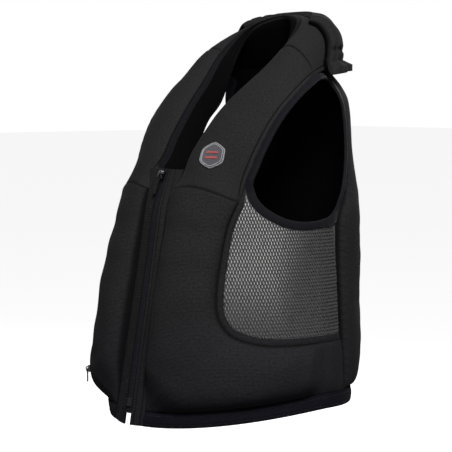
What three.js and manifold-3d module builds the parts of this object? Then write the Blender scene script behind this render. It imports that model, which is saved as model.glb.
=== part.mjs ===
// An inflated airbag riding vest, zipped up, in the form that it has when it is worn.
// Millimetres, +Z up. The wearer's front faces -Y and the wearer's left is +X.
// The origin is in the middle of the neck opening, level with the rest on the shoulders.

import * as THREE from "three";
import { mergeVertices } from "three/addons/utils/BufferGeometryUtils.js";
import Module from "manifold-3d";

const wasm = await Module();
wasm.setup();

const DEG = Math.PI / 180;

// Cloth and seams
const SHELL = 2.4;
const SEAM_GAP = 0.5;
const SEAM_EDGE = 3.2;
const SEAM_DIP = 0.12;
const PATTERN_RADIUS = 155;

// Front zip: angles are measured round the trunk from the middle of the front
const PLACKET_HALF = 26.5;
const PLACKET_TOP_HALF = 21;
const TAPE_HALF = 9.5;
const ZIP_SLIT = 0.5;
const ZIP_TOP = -103;
const ZIP_END = -401;
const ZIP_KEEL = 6;
const COIL_HALF = 3;

// Hem
const HEM_SIDE_Z = -401;
const HEM_FRONT_DIP = 22;
const HEM_BACK_DIP = 6;
const HEM_HEIGHT = 18.5;
const HEM_WALL = 3.4;

// Net window, armhole and back
const TRIM_WIDTH = 7;
const TRIM_START = 0.03;
const NET_WALL = 2.6;
const NET_TIP_DEG = 48.7;
const REAR_SEAM_DEG = 106;
const BIND_WIDTH = 9;
const BIND_WALL = 4.2;
const BACK_PUFF = 19;
const BACK_TOP_Z = 20;
const SPINE_GROOVE = 6;

// Sampling of the soft pieces
const ACROSS = 9;
const STEPS = 3;

// Trunk sections: half width, and reach of the front and of the back from the axis
const TRUNK = [
  { z: -430, halfWidth: 171, front: 185, back: 115 },
  { z: -340, halfWidth: 162, front: 169.5, back: 118 },
  { z: -260, halfWidth: 155, front: 155, back: 122 },
  { z: -200, halfWidth: 151, front: 144.5, back: 125 },
  { z: -150, halfWidth: 149.5, front: 136, back: 127 },
  { z: -110, halfWidth: 149, front: 124.5, back: 129 },
  { z: -70, halfWidth: 147, front: 114, back: 130 },
  { z: -20, halfWidth: 139, front: 100, back: 129 },
  { z: 0, halfWidth: 128, front: 92, back: 122 },
  { z: 30, halfWidth: 104, front: 80, back: 106 },
];

// Front panel, down beside the zip and then back along the hem under the net window.
// edge: the zip or hem side, seam: the net side, puff: height of the filled chamber
const PLACKET_DEG = PLACKET_HALF / PATTERN_RADIUS / DEG;
const FRONT_PANEL = [
  { place: "chest seam", edgeDeg: PLACKET_DEG, edgeZ: -128, seamDeg: 46, seamZ: -141, puff: 15 },
  { place: "bust", edgeDeg: PLACKET_DEG, edgeZ: -165, seamDeg: 42, seamZ: -172, puff: 19 },
  { place: "ribs", edgeDeg: PLACKET_DEG, edgeZ: -215, seamDeg: 40, seamZ: -215, puff: 27 },
  { place: "waist", edgeDeg: PLACKET_DEG, edgeZ: -275, seamDeg: 39.2, seamZ: -256, puff: 31 },
  { place: "above the corner", edgeDeg: PLACKET_DEG, edgeZ: -335, seamDeg: 41, seamZ: -284, puff: 29 },
  { place: "corner", edgeDeg: PLACKET_DEG, edgeZ: null, seamDeg: 47, seamZ: -304, puff: 27 },
  { place: "front hem", edgeDeg: 30, edgeZ: null, seamDeg: 58, seamZ: -315, puff: 26 },
  { place: "side hem", edgeDeg: 54, edgeZ: null, seamDeg: 70, seamZ: -318, puff: 27 },
  { place: "end of chamber", edgeDeg: 74, edgeZ: null, seamDeg: 79, seamZ: -318, puff: 23 },
  { place: "flat side", edgeDeg: 88, edgeZ: null, seamDeg: 90, seamZ: -318, puff: 5 },
  { place: "rear seam", edgeDeg: REAR_SEAM_DEG, edgeZ: null, seamDeg: REAR_SEAM_DEG, seamZ: -318, puff: 2 },
];
const CHEST_SEAM_RISE = 11;

// Collar, from the chest seam over the shoulder to the middle of the nape.
// roll: the rolled edge at the neck, out: the edge at the armhole or back,
// wall: depth of the neck side below the roll, crown: swell of the top, belly: swell to the body
const COLLAR = [
  { rollX: 27, rollY: -112, rollZ: -95, outX: 112, outY: -85, outZ: -115, wall: 22, crown: 17, belly: 2 },
  { rollX: 29, rollY: -89, rollZ: -60, outX: 118, outY: -68, outZ: -75, wall: 30, crown: 15, belly: 3 },
  { rollX: 36, rollY: -57, rollZ: -23, outX: 122.5, outY: -45, outZ: -38.5, wall: 34, crown: 15, belly: 4 },
  { rollX: 47, rollY: -23, rollZ: 8, outX: 124.5, outY: -10, outZ: -5, wall: 36, crown: 15, belly: 4 },
  { rollX: 58, rollY: 20, rollZ: 49, outX: 113, outY: 30, outZ: 16, wall: 24, crown: 18, belly: 4 },
  { rollX: 45, rollY: 62, rollZ: 86, outX: 82, outY: 84, outZ: 28, wall: 11, crown: 21, belly: 4 },
  { rollX: 0, rollY: 84, rollZ: 98, outX: 0, outY: 116, outZ: 32, wall: 9, crown: 22, belly: 4 },
];

// Outline of a collar section: shares of the width, of the wall and of the crown
const COLLAR_SHAPE = [
  { across: 0, wall: -1, crown: 0 },
  { across: -0.03, wall: -0.55, crown: 0 },
  { across: 0, wall: -0.1, crown: 0.1 },
  { across: 0.1, wall: 0, crown: 0.55 },
  { across: 0.28, wall: 0, crown: 0.94 },
  { across: 0.5, wall: 0, crown: 1 },
  { across: 0.7, wall: 0, crown: 0.8 },
  { across: 0.88, wall: 0, crown: 0.42 },
  { across: 1, wall: 0, crown: 0 },
];
const NAPE_SEAM = 5;
const NAPE_MIDDLE = 7;

// Cover over the nape: half length and slant in collar rows, then millimetres
const NAPE_COVER_HALF = 1.02;
const NAPE_COVER_SLANT = 0.45;
const NAPE_GAP = 1.4;
const NAPE_EDGE = 3;
const NAPE_PUFF = 12;
const NAPE_FLAP = 15;
const NAPE_FLAP_DROP = 9;
const NAPE_FLAP_WALL = 4;
const NAPE_FOLDS = [
  { at: 0.8, width: 0.07, depth: 0.5 },
  { at: 0.45, width: 0.08, depth: 0.3 },
];

// Patch on the left collar
const PATCH_STATION = 1.35;
const PATCH_SHARE = 0.61;
const PATCH_RADIUS = 17;
const PATCH_WALL = 1.4;
const PATCH_GAP = 0.6;

// Zip hardware
const FRONT_SLIDER = {
  width: 9, length: 12, wall: 3.2, bridgeWall: 1.4, tunnel: 2.4, bridgeWidth: 2.2,
  pullWidth: 6.6, pullLength: 27, bar: 1.4,
};
const POCKET_SLIDER = {
  width: 7, length: 9, wall: 2.4, bridgeWall: 1.2, tunnel: 2.2, bridgeWidth: 1.8,
  pullWidth: 5.4, pullLength: 17, bar: 1.2,
};
const POCKET_DEG = 41;
const POCKET_TOP = -328;
const POCKET_LOW = -380;
const POCKET_TAPE = 9;

// Lower edge of the armhole, which is the top of the net window
const ARMHOLE_FLOOR = [
  { deg: 48, z: -117 },
  { deg: 49.3, z: -129 },
  { deg: 52.5, z: -143 },
  { deg: 57.4, z: -155 },
  { deg: 63.6, z: -164.5 },
  { deg: 70, z: -171.5 },
  { deg: 80, z: -176 },
  { deg: 93, z: -175 },
  { deg: REAR_SEAM_DEG, z: -167 },
];

// Rear edge of the armhole, which is the side of the back panel
const ARMHOLE_REAR = [
  { z: -176, deg: REAR_SEAM_DEG },
  { z: -160, deg: 108.5 },
  { z: -140, deg: 116 },
  { z: -110, deg: 124 },
  { z: -70, deg: 129 },
  { z: -20, deg: 128 },
  { z: 22, deg: 124 },
];

const lerp = THREE.MathUtils.lerp;
const clamp = THREE.MathUtils.clamp;

// Reads a table between its rows with a smooth curve through them
function tableReader(rows, key) {
  const sorted = [...rows].sort((a, b) => a[key] - b[key]);
  const names = Object.keys(sorted[0]).filter((name) => name !== key && typeof sorted[0][name] === "number");
  const last = sorted.length - 1;
  const slope = (i, name) => {
    const a = sorted[Math.max(i - 1, 0)];
    const b = sorted[Math.min(i + 1, last)];
    return (b[name] - a[name]) / (b[key] - a[key]);
  };
  return (at) => {
    const x = clamp(at, sorted[0][key], sorted[last][key]);
    let i = 0;
    while (i < last - 1 && x > sorted[i + 1][key]) {
      i += 1;
    }
    const span = sorted[i + 1][key] - sorted[i][key];
    const t = (x - sorted[i][key]) / span;
    const row = {};
    for (const name of names) {
      const rise = t * t * (3 - 2 * t);
      const leave = t * (1 - t) * (1 - t) * span * slope(i, name);
      const arrive = t * t * (t - 1) * span * slope(i + 1, name);
      row[name] = lerp(sorted[i][name], sorted[i + 1][name], rise) + leave + arrive;
    }
    return row;
  };
}

const trunkAt = tableReader(TRUNK, "z");
const armholeFloorAt = tableReader(ARMHOLE_FLOOR, "deg");
const armholeRearAt = tableReader(ARMHOLE_REAR, "z");

// A point of the trunk, lifted level and square to it by some millimetres
function trunk(deg, z, lift) {
  const section = trunkAt(z);
  const sine = Math.sin(deg * DEG);
  const cosine = Math.cos(deg * DEG);
  const depth = cosine > 0 ? section.front : section.back;
  const square = new THREE.Vector2(sine / section.halfWidth, -cosine / depth).normalize();
  const x = section.halfWidth * sine + lift * square.x;
  const y = -depth * cosine + lift * square.y;
  return new THREE.Vector3(x, y, z);
}

const degrees = (girth) => girth / PATTERN_RADIUS / DEG;

function hemBottom(deg) {
  const cosine = Math.cos(deg * DEG);
  const dip = cosine > 0 ? HEM_FRONT_DIP : HEM_BACK_DIP;
  return HEM_SIDE_Z - dip * Math.abs(cosine) ** 1.5;
}

const hemTop = (deg) => hemBottom(deg) + HEM_HEIGHT;

// Shares across a piece, closer together toward its two edges
function shares(count) {
  return Array.from({ length: count }, (_, k) => 0.5 - 0.5 * Math.cos((Math.PI * k) / (count - 1)));
}

// Height of a filled chamber across its width, as a share of its puff
function pillow(share, power = 2.6, fullness = 0.55) {
  return Math.max(0, 1 - Math.abs(2 * share - 1) ** power) ** fullness;
}

// A closed solid through rings of points. The first half of each ring runs over the outside
// from edge to edge and the second half comes back over the inside.
function loft(rings, isLoop = false) {
  const size = rings[0].length;
  const count = rings.length;
  const position = rings.flatMap((ring) => ring.flatMap((point) => [point.x, point.y, point.z]));
  const index = [];
  const quad = (a, b, c, d) => index.push(a, b, c, a, c, d);
  for (let i = 0; i < (isLoop ? count : count - 1); i += 1) {
    const here = i * size;
    const next = ((i + 1) % count) * size;
    for (let k = 0; k < size; k += 1) {
      const k1 = (k + 1) % size;
      quad(here + k, here + k1, next + k1, next + k);
    }
  }
  if (!isLoop) {
    const end = (count - 1) * size;
    for (let k = 0; k < size / 2 - 1; k += 1) {
      quad(k, size - 1 - k, size - 2 - k, k + 1);
      quad(end + k, end + k + 1, end + size - 2 - k, end + size - 1 - k);
    }
  }
  return closed(position, index);
}

// Turns the faces of a closed shell outward where they face inward
function closed(position, index) {
  const point = (i) => new THREE.Vector3().fromArray(position, index[i] * 3);
  let volume = 0;
  for (let i = 0; i < index.length; i += 3) {
    volume += point(i).dot(point(i + 1).cross(point(i + 2)));
  }
  if (volume < 0) {
    index.reverse();
  }
  const geometry = new THREE.BufferGeometry();
  geometry.setAttribute("position", new THREE.Float32BufferAttribute(position, 3));
  geometry.setIndex(index);
  return geometry;
}

const mirrorPoint = (p) => new THREE.Vector3(-p.x, p.y, p.z);
const mirrorRings = (rings) => rings.map((ring) => ring.map(mirrorPoint));

// A strip of cloth on the trunk between two lines, each given as degrees and height
function clothStrip(lines, across, lowLift, highLift) {
  return lines.map(({ from, to }) => {
    const spots = Array.from({ length: across }, (_, k) => {
      const share = k / (across - 1);
      return { deg: lerp(from.deg, to.deg, share), z: lerp(from.z, to.z, share), share };
    });
    const outside = spots.map((s) => trunk(s.deg, s.z, highLift(s.share)));
    const inside = spots.map((s) => trunk(s.deg, s.z, lowLift(s.share)));
    return [...outside, ...inside.reverse()];
  });
}

// Seam between the front panel and the net window, in flat pattern millimetres
const seamCurve = new THREE.SplineCurve(
  FRONT_PANEL.map((row) => new THREE.Vector2(row.seamDeg * DEG * PATTERN_RADIUS, row.seamZ)),
);

function seamPoint(t, offset) {
  const point = seamCurve.getPoint(t);
  const along = seamCurve.getTangent(t);
  const girth = point.x - along.y * offset;
  return { deg: degrees(girth), z: point.y + along.x * offset };
}

const PANEL_ROWS = FRONT_PANEL.length - 1;

// Where a front panel lies: t runs along it from the chest seam, share runs from edge to seam
function panelSpot(t, share) {
  const at = clamp(t, 0, 1) * PANEL_ROWS;
  const i = Math.min(Math.floor(at), PANEL_ROWS - 1);
  const a = FRONT_PANEL[i];
  const b = FRONT_PANEL[i + 1];
  const edgeDeg = lerp(a.edgeDeg, b.edgeDeg, at - i);
  const hemEdge = (row) => row.edgeZ ?? hemTop(row.edgeDeg) + SEAM_GAP;
  const onHem = a.edgeZ === null;
  const edgeZ = onHem ? hemTop(edgeDeg) + SEAM_GAP : lerp(hemEdge(a), hemEdge(b), at - i);
  const seam = seamPoint(clamp(t, 0, 1), 0);
  const puff = lerp(a.puff, b.puff, THREE.MathUtils.smoothstep(at - i, 0, 1));
  const rise = CHEST_SEAM_RISE * Math.sin(Math.PI * share ** 0.8) * Math.max(0, 1 - at) ** 2;
  return { deg: lerp(edgeDeg, seam.deg, share), z: lerp(edgeZ, seam.z, share) + rise, puff };
}

function panelLift(t, share) {
  const chestDip = t === 0 ? 1 - SEAM_DIP : 1;
  return SEAM_EDGE + panelSpot(t, share).puff * pillow(share) * chestDip;
}

function panelRing(t, raise = 0) {
  const across = shares(ACROSS);
  const spot = (share) => panelSpot(t, share);
  const outside = across.map((share) => trunk(spot(share).deg, spot(share).z + raise, panelLift(t, share)));
  const inside = across.map((share) => trunk(spot(share).deg, spot(share).z + raise, 0));
  return [...outside, ...inside.reverse()];
}

function frontPanelRings() {
  const count = PANEL_ROWS * STEPS;
  return Array.from({ length: count + 1 }, (_, i) => panelRing(i / count));
}

// Collar: sections square to its path, with a smooth curve through each of their points
function collarSection(i) {
  const row = COLLAR[i];
  const roll = new THREE.Vector3(row.rollX, row.rollY, row.rollZ);
  const out = new THREE.Vector3(row.outX, row.outY, row.outZ);
  const middle = (r, side) =>
    new THREE.Vector3((side * (r.rollX + r.outX)) / 2, (r.rollY + r.outY) / 2, (r.rollZ + r.outZ) / 2);
  const isLast = i === COLLAR.length - 1;
  const ahead = isLast ? middle(COLLAR[i - 1], -1) : middle(COLLAR[i + 1], 1);
  const behind = i === 0 ? trunk(28, -135, 0) : middle(COLLAR[i - 1], 1);
  const path = ahead.sub(behind).normalize();
  const width = out.clone().sub(roll);
  const square = width.clone().cross(path).normalize();
  const foot = roll.clone().addScaledVector(square, -row.wall);
  const lap = width.clone().normalize().multiplyScalar(SEAM_EDGE / 2);
  const outside = COLLAR_SHAPE.map((shape, k) => {
    const height = shape.wall * row.wall + shape.crown * row.crown;
    const point = roll.clone().addScaledVector(width, shape.across).addScaledVector(square, height);
    return k === 0 ? point.sub(lap) : point.addScaledVector(square, shape.across * SEAM_EDGE * 0.5);
  });
  const inside = COLLAR_SHAPE.map((_, k) => {
    const share = k / (ACROSS - 1);
    const point = foot.clone().lerp(out, share).addScaledVector(square, -row.belly * pillow(share));
    return k === 0 ? point.add(lap) : point.addScaledVector(square, -share * SEAM_EDGE * 0.5);
  });
  return [...outside, ...inside.reverse()];
}

const collarKeys = [panelRing(0, SEAM_GAP), ...COLLAR.map((_, i) => collarSection(i))];
const collarCurves = collarKeys[0].map((_, k) => {
  const half = collarKeys.map((ring) => ring[k]);
  const rest = half.slice(0, -1).reverse().map(mirrorPoint);
  return new THREE.CatmullRomCurve3([...half, ...rest], false, "centripetal");
});

// A ring of the collar; stations count the rows from the chest seam, up to twice the middle one
function collarRing(station, dip = 0) {
  const ring = collarCurves.map((curve) => curve.getPoint(station / (2 * NAPE_MIDDLE)));
  const half = ring.length / 2;
  return ring.map((p, k) => (k < half ? p.lerp(ring[ring.length - 1 - k], dip) : p));
}

function collarRings(from, to) {
  const count = Math.round((to - from) * STEPS);
  return Array.from({ length: count + 1 }, (_, i) => {
    const isSeam = i === 0 || i === count;
    return collarRing(lerp(from, to, i / count), isSeam ? SEAM_DIP : 0);
  });
}

// A spot on the outside of the collar, by its share of the outline, and the direction square to it
function collarSpot(station, share) {
  const onRing = (at, s) => {
    const ring = collarRing(at);
    const k = Math.min(Math.floor(s * (ACROSS - 1)), ACROSS - 2);
    return ring[k].clone().lerp(ring[k + 1], s * (ACROSS - 1) - k);
  };
  const point = onRing(station, share);
  const along = onRing(station + 0.05, share).sub(onRing(station - 0.05, share));
  const over = onRing(station, Math.min(share + 0.06, 1)).sub(onRing(station, Math.max(share - 0.06, 0)));
  return { point, square: over.cross(along).normalize() };
}

// Back panel, in level rows from the hem to the nape
function backRings() {
  const rows = 16;
  const columns = 17;
  const across = shares(columns);
  return Array.from({ length: rows + 1 }, (_, i) => {
    const rise = i / rows;
    const level = lerp(hemTop(REAR_SEAM_DEG) + SEAM_GAP, BACK_TOP_Z, rise);
    const side = armholeRearAt(level).deg + SEAM_GAP;
    const swell = BACK_PUFF * Math.max(0, 1 - Math.abs(2 * rise - 1) ** 8) ** 0.5;
    const upper = THREE.MathUtils.smoothstep(level, -160, -80);
    const fill = (share) => pillow(share, lerp(4, 2, upper), lerp(0.55, 1.1, upper));
    const spots = across.map((share) => {
      const deg = lerp(side, 360 - side, share);
      const low = hemTop(deg) - hemTop(REAR_SEAM_DEG);
      const groove = SPINE_GROOVE * Math.exp(-(((deg - 180) / 7) ** 2)) * swell / BACK_PUFF;
      return { deg, z: level + low * (1 - rise), lift: SEAM_EDGE + swell * fill(share) - groove };
    });
    const outside = spots.map((s) => trunk(s.deg, s.z, s.lift));
    const inside = spots.map((s) => trunk(s.deg, s.z, 0));
    return [...outside, ...inside.reverse()];
  });
}

// Tape that covers the seam round the net window
function trimRings() {
  const count = PANEL_ROWS * STEPS;
  const lines = Array.from({ length: count + 1 }, (_, i) => {
    const t = lerp(TRIM_START, 1, i / count);
    return { from: seamPoint(t, SEAM_GAP), to: seamPoint(t, SEAM_GAP + TRIM_WIDTH) };
  });
  const height = (share) => SHELL + 1.2 * pillow(share);
  return clothStrip(lines, 3, () => 0, height);
}

// Net window: the four edges are joined by an even patch. The front edge starts at a narrow tip
// beside the collar, steps round the end of the trim and then follows the trim.
function netRings() {
  const rows = 11;
  const columns = 11;
  const inset = 2 * SEAM_GAP + TRIM_WIDTH;
  const cornerT = 0.66;
  const tip = { deg: NET_TIP_DEG, z: armholeFloorAt(NET_TIP_DEG).z - SEAM_GAP };
  const neck = { deg: 47.1, z: -138.5 };
  const front = (v) => {
    const step = v * rows;
    if (step < 1) {
      return { deg: lerp(tip.deg, neck.deg, step), z: lerp(tip.z, neck.z, step) };
    }
    if (step < 2) {
      const trimEnd = seamPoint(TRIM_START / 2, inset + SEAM_GAP);
      return { deg: lerp(neck.deg, trimEnd.deg, step - 1), z: lerp(neck.z, trimEnd.z, step - 1) };
    }
    return seamPoint(lerp(TRIM_START / 2, cornerT, (step - 2) / (rows - 2)), inset + SEAM_GAP * 0.5);
  };
  const floor = (s) => seamPoint(lerp(cornerT, 1, s), inset);
  const roof = (s) => {
    const deg = lerp(tip.deg, REAR_SEAM_DEG, s);
    return { deg, z: armholeFloorAt(deg).z - SEAM_GAP };
  };
  const rear = (v) => ({ deg: REAR_SEAM_DEG, z: lerp(roof(1).z, floor(1).z, v) });
  const blend = (s, v, key) => {
    const ruled = lerp(roof(s)[key], floor(s)[key], v) + lerp(front(v)[key], rear(v)[key], s);
    const above = lerp(roof(0)[key], roof(1)[key], s);
    const below = lerp(floor(0)[key], floor(1)[key], s);
    return ruled - lerp(above, below, v);
  };
  return Array.from({ length: columns + 1 }, (_, i) => {
    const share = (i / columns) ** 1.5;
    const spots = Array.from({ length: rows + 1 }, (_, j) => {
      return { deg: blend(share, j / rows, "deg"), z: blend(share, j / rows, "z") };
    });
    const outside = spots.map((s) => trunk(s.deg, s.z, NET_WALL));
    const inside = spots.map((s) => trunk(s.deg, s.z, 0));
    return [...outside, ...inside.reverse()];
  });
}

// Binding round an armhole: up the collar's edge, down the back, forward along the net
function bindingRings() {
  const keys = [];
  const add = (edge, inward) => keys.push({ edge, inward: inward.clone().normalize() });
  for (let station = 0.95; station <= NAPE_SEAM + 0.01; station += 0.45) {
    const ring = collarRing(station);
    const edge = ring[ACROSS - 1].clone().lerp(ring[ACROSS], 0.5);
    const inner = ring[ACROSS - 3].clone().lerp(ring[ACROSS + 2], 0.5);
    add(edge, edge.clone().sub(inner));
  }
  for (let z = 8; z >= -150; z -= 24) {
    const deg = armholeRearAt(z).deg;
    add(trunk(deg, z, SEAM_EDGE / 2), trunk(deg - 2, z, SEAM_EDGE / 2).sub(trunk(deg, z, SEAM_EDGE / 2)));
  }
  for (const deg of [103, 94, 85, 77, 70, 63, 57, 52.5, 49.8]) {
    const { z } = armholeFloorAt(deg);
    const slope = (armholeFloorAt(deg + 0.5).z - armholeFloorAt(deg - 0.5).z) / (DEG * PATTERN_RADIUS);
    const edge = trunk(deg, z, NET_WALL / 2);
    add(edge, trunk(deg - degrees(slope), z + 1, NET_WALL / 2).sub(edge));
  }
  const line = (offset) =>
    new THREE.CatmullRomCurve3(
      keys.map((key) => key.edge.clone().addScaledVector(key.inward, offset)),
      true,
    );
  const near = line(1.5 * SEAM_GAP);
  const far = line(1.5 * SEAM_GAP + BIND_WIDTH);
  const count = 52;
  return Array.from({ length: count }, (_, i) => {
    const a = near.getPoint(i / count);
    const b = far.getPoint(i / count);
    const along = near.getTangent(i / count);
    const square = b.clone().sub(a).cross(along).normalize();
    const spot = (share, side) =>
      a.clone().lerp(b, share).addScaledVector(square, side * BIND_WALL * 0.5 * (0.45 + 0.55 * pillow(share)));
    const across = shares(3);
    return [...across.map((s) => spot(s, 1)), ...across.map((s) => spot(s, -1)).reverse()];
  });
}

// Hem band, all round from one zip placket to the other
function hemRings() {
  const count = 56;
  const start = degrees(PLACKET_HALF + SEAM_GAP);
  return Array.from({ length: count + 1 }, (_, i) => {
    const deg = lerp(start, 360 - start, i / count);
    const across = shares(5);
    const z = (share) => lerp(hemTop(deg), hemBottom(deg), share);
    const outside = across.map((s) => trunk(deg, z(s), HEM_WALL + 1.6 * pillow(s)));
    const inside = across.map((s) => trunk(deg, z(s), 0));
    return [...outside, ...inside.reverse()];
  });
}

// Forward stand of the zip, which falls off to the sides of its placket
function keel(girth, z) {
  const fade = lerp(0.15, 1, THREE.MathUtils.smoothstep(-z, -ZIP_TOP, -ZIP_TOP + 55));
  return ZIP_KEEL * fade * (1 - Math.abs(girth) / PLACKET_HALF);
}

// Upright strip beside the zip between two girths
function zipStrip(fromGirth, toGirth, across, lowLift, highLift, bottom, top = ZIP_TOP) {
  const count = Math.max(1, Math.round((top - ZIP_END) / 21));
  return Array.from({ length: count + 1 }, (_, i) => {
    const spots = Array.from({ length: across }, (_, k) => {
      const wide = lerp(fromGirth, toGirth, k / (across - 1));
      const low = bottom ?? hemBottom(degrees(wide));
      const z = lerp(top, low, i / count);
      const squeeze = THREE.MathUtils.smoothstep(z, -130, ZIP_TOP) * (1 - PLACKET_TOP_HALF / PLACKET_HALF);
      const girth = wide * (1 - squeeze * (Math.abs(wide) / PLACKET_HALF) ** 2);
      return { deg: degrees(girth), z, lift: keel(wide, z) };
    });
    const outside = spots.map((s) => trunk(s.deg, s.z, s.lift + highLift));
    const inside = spots.map((s) => trunk(s.deg, s.z, s.lift + lowLift));
    return [...outside, ...inside.reverse()];
  });
}

// Cover over the nape: it lies on the back of the collar and its lower edge stands out as a flap
function napeRings() {
  const count = 22;
  const flapFrom = 0.75;
  const down = new THREE.Vector3(0, 0, -1);
  const folds = (q) =>
    NAPE_FOLDS.reduce((sum, f) => sum + f.depth * Math.exp(-(((Math.abs(q) - f.at) / f.width) ** 2)), 0);
  return Array.from({ length: count + 1 }, (_, i) => {
    const q = (2 * i) / count - 1;
    const ends = Math.max(0, 1 - Math.abs(q) ** 6) ** 0.5;
    const spots = Array.from({ length: ACROSS }, (_, k) => {
      const v = k / (ACROSS - 1);
      const low = Math.min(v / flapFrom, 1);
      const flap = Math.max(0, (v - flapFrom) / (1 - flapFrom));
      const station = NAPE_MIDDLE + q * (NAPE_COVER_HALF + NAPE_COVER_SLANT * low ** 2);
      const { point, square } = collarSpot(station, lerp(0.4, 0.93, low));
      const pad = NAPE_EDGE + NAPE_PUFF * Math.sin(Math.PI * lerp(0.08, 0.72, low)) * ends * (1 - folds(q));
      return { point, square, pad, flap };
    });
    const reach = NAPE_FLAP * (0.25 + 0.75 * ends);
    const outside = spots.map(({ point, square, pad, flap }) =>
      point.clone().addScaledVector(square, NAPE_GAP + pad + reach * flap)
        .addScaledVector(down, NAPE_FLAP_DROP * flap));
    const inside = spots.map(({ point, square, pad, flap }) =>
      point.clone().addScaledVector(square, lerp(NAPE_GAP, NAPE_GAP + pad + reach, flap))
        .addScaledVector(down, (NAPE_FLAP_DROP + NAPE_FLAP_WALL) * flap));
    return [...outside, ...inside.reverse()];
  });
}

// The surface of a piece under a point, looked for along a direction
function surfaceUnder(geometry, from, direction) {
  const mesh = new THREE.Mesh(geometry, new THREE.MeshBasicMaterial({ side: THREE.DoubleSide }));
  const hits = new THREE.Raycaster(from, direction).intersectObject(mesh);
  return hits[0].point;
}

// Patch sewn on the left collar: a six-sided plate with round corners that follows the cloth
function patchGeometry(collar) {
  const { point, square } = collarSpot(PATCH_STATION, PATCH_SHARE);
  const upright = new THREE.Vector3(0, 0, 1).projectOnPlane(square).normalize();
  const level = upright.clone().cross(square);
  const around = 24;
  const rings = 3;
  const radius = (angle) => {
    const wave = Math.cos(6 * angle);
    return PATCH_RADIUS * (1 - 0.035 * wave + 0.01 * wave * wave);
  };
  const spot = (ring, j, lift) => {
    const angle = (j / around) * 2 * Math.PI;
    const reach = (ring / rings) * radius(angle);
    const over = point.clone().addScaledVector(level, reach * Math.cos(angle))
      .addScaledVector(upright, reach * Math.sin(angle)).addScaledVector(square, 40);
    return surfaceUnder(collar, over, square.clone().negate()).addScaledVector(square, lift);
  };
  const position = [];
  const index = [];
  const push = (p) => position.push(p.x, p.y, p.z) / 3 - 1;
  const sheet = (lift) => {
    const middle = push(spot(0, 0, lift));
    const loops = [];
    for (let ring = 1; ring <= rings; ring += 1) {
      loops.push(Array.from({ length: around }, (_, j) => push(spot(ring, j, lift))));
    }
    return { middle, loops };
  };
  const top = sheet(PATCH_GAP + PATCH_WALL);
  const low = sheet(PATCH_GAP);
  for (let j = 0; j < around; j += 1) {
    const j1 = (j + 1) % around;
    index.push(top.middle, top.loops[0][j], top.loops[0][j1]);
    index.push(low.middle, low.loops[0][j1], low.loops[0][j]);
    for (let ring = 0; ring < rings - 1; ring += 1) {
      const [a, b] = [top.loops[ring], top.loops[ring + 1]];
      const [c, d] = [low.loops[ring], low.loops[ring + 1]];
      index.push(a[j], b[j], b[j1], a[j], b[j1], a[j1]);
      index.push(c[j], d[j1], d[j], c[j], c[j1], d[j1]);
    }
    const [t, l] = [top.loops[rings - 1], low.loops[rings - 1]];
    index.push(t[j], l[j], l[j1], t[j], l[j1], t[j1]);
  }
  return closed(position, index);
}

// Joins solids into one
function union(geometries) {
  const toSolid = (geometry) => {
    const bare = geometry.clone();
    for (const name of Object.keys(bare.attributes)) {
      if (name !== "position") {
        bare.deleteAttribute(name);
      }
    }
    const merged = mergeVertices(bare, 1e-4);
    const vertProperties = new Float32Array(merged.attributes.position.array);
    const triVerts = new Uint32Array(merged.index.array);
    return new wasm.Manifold(new wasm.Mesh({ numProp: 3, vertProperties, triVerts }));
  };
  const { vertProperties, triVerts } = geometries.map(toSolid).reduce((a, b) => a.add(b)).getMesh();
  return closed([...vertProperties], [...triVerts]);
}

// A polygon from corner pairs, made thick
function plate(corners, depth, hole) {
  const shape = new THREE.Shape(corners.map(([x, y]) => new THREE.Vector2(x, y)));
  if (hole) {
    shape.holes.push(new THREE.Path(hole.map(([x, y]) => new THREE.Vector2(x, y))));
  }
  return new THREE.ExtrudeGeometry(shape, { depth, bevelEnabled: false });
}

// Zip slider at the origin: x across, y down the zip, z away from the cloth
function sliderSolid(size) {
  const { width, length, wall, bridgeWall, tunnel, bridgeWidth } = size;
  const h = width / 2;
  const body = plate([[-h * 0.7, 0], [h * 0.7, 0], [h, 2], [h * 0.8, length], [-h * 0.8, length], [-h, 2]], wall);
  const [from, to] = [length * 0.13, length * 0.87];
  const [low, high] = [wall - 0.4, wall + tunnel];
  const arch = plate([
    [from, low], [from, high + bridgeWall * 0.5], [from + 1, high + bridgeWall],
    [to - 1, high + bridgeWall], [to, high + bridgeWall * 0.5], [to, low],
    [to - bridgeWall, low], [to - bridgeWall, high], [from + bridgeWall, high], [from + bridgeWall, low],
  ], bridgeWidth);
  arch.translate(0, 0, -bridgeWidth / 2);
  const turn = new THREE.Matrix4().makeBasis(
    new THREE.Vector3(0, 1, 0), new THREE.Vector3(0, 0, 1), new THREE.Vector3(1, 0, 0));
  return union([body, arch.applyMatrix4(turn)]);
}

// Zip pull with its bar at the origin, hanging along y
function pullSolid(size) {
  const { pullWidth, pullLength, bar, length } = size;
  const h = pullWidth / 2;
  const top = -bar / 2;
  const corners = [
    [-h, top], [h, top], [h, length * 0.6], [h * 0.72, length * 0.8],
    [h, pullLength * 0.7], [h * 0.75, pullLength], [-h * 0.75, pullLength], [-h, pullLength * 0.7],
    [-h * 0.72, length * 0.8], [-h, length * 0.6],
  ];
  const w = h - bar * 0.75;
  const eye = [[-w, bar / 2], [w, bar / 2], [w, length * 0.56], [-w, length * 0.56]];
  const solid = plate(corners, bar, eye);
  solid.translate(0, 0, -bar / 2);
  return solid;
}

// Puts a small solid at a place with its y axis down and its z axis out
function seat(geometry, place, down, out) {
  const across = down.clone().cross(out).normalize();
  const square = across.clone().cross(down).normalize();
  const basis = new THREE.Matrix4().makeBasis(across, down.clone().normalize(), square).setPosition(place);
  return geometry.clone().applyMatrix4(basis);
}

const solids = {};
const cloth = 0x17181a;
const binding = 0x12131b;

function add(name, geometry, colour) {
  solids[name] = { geometry, colour };
}

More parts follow.
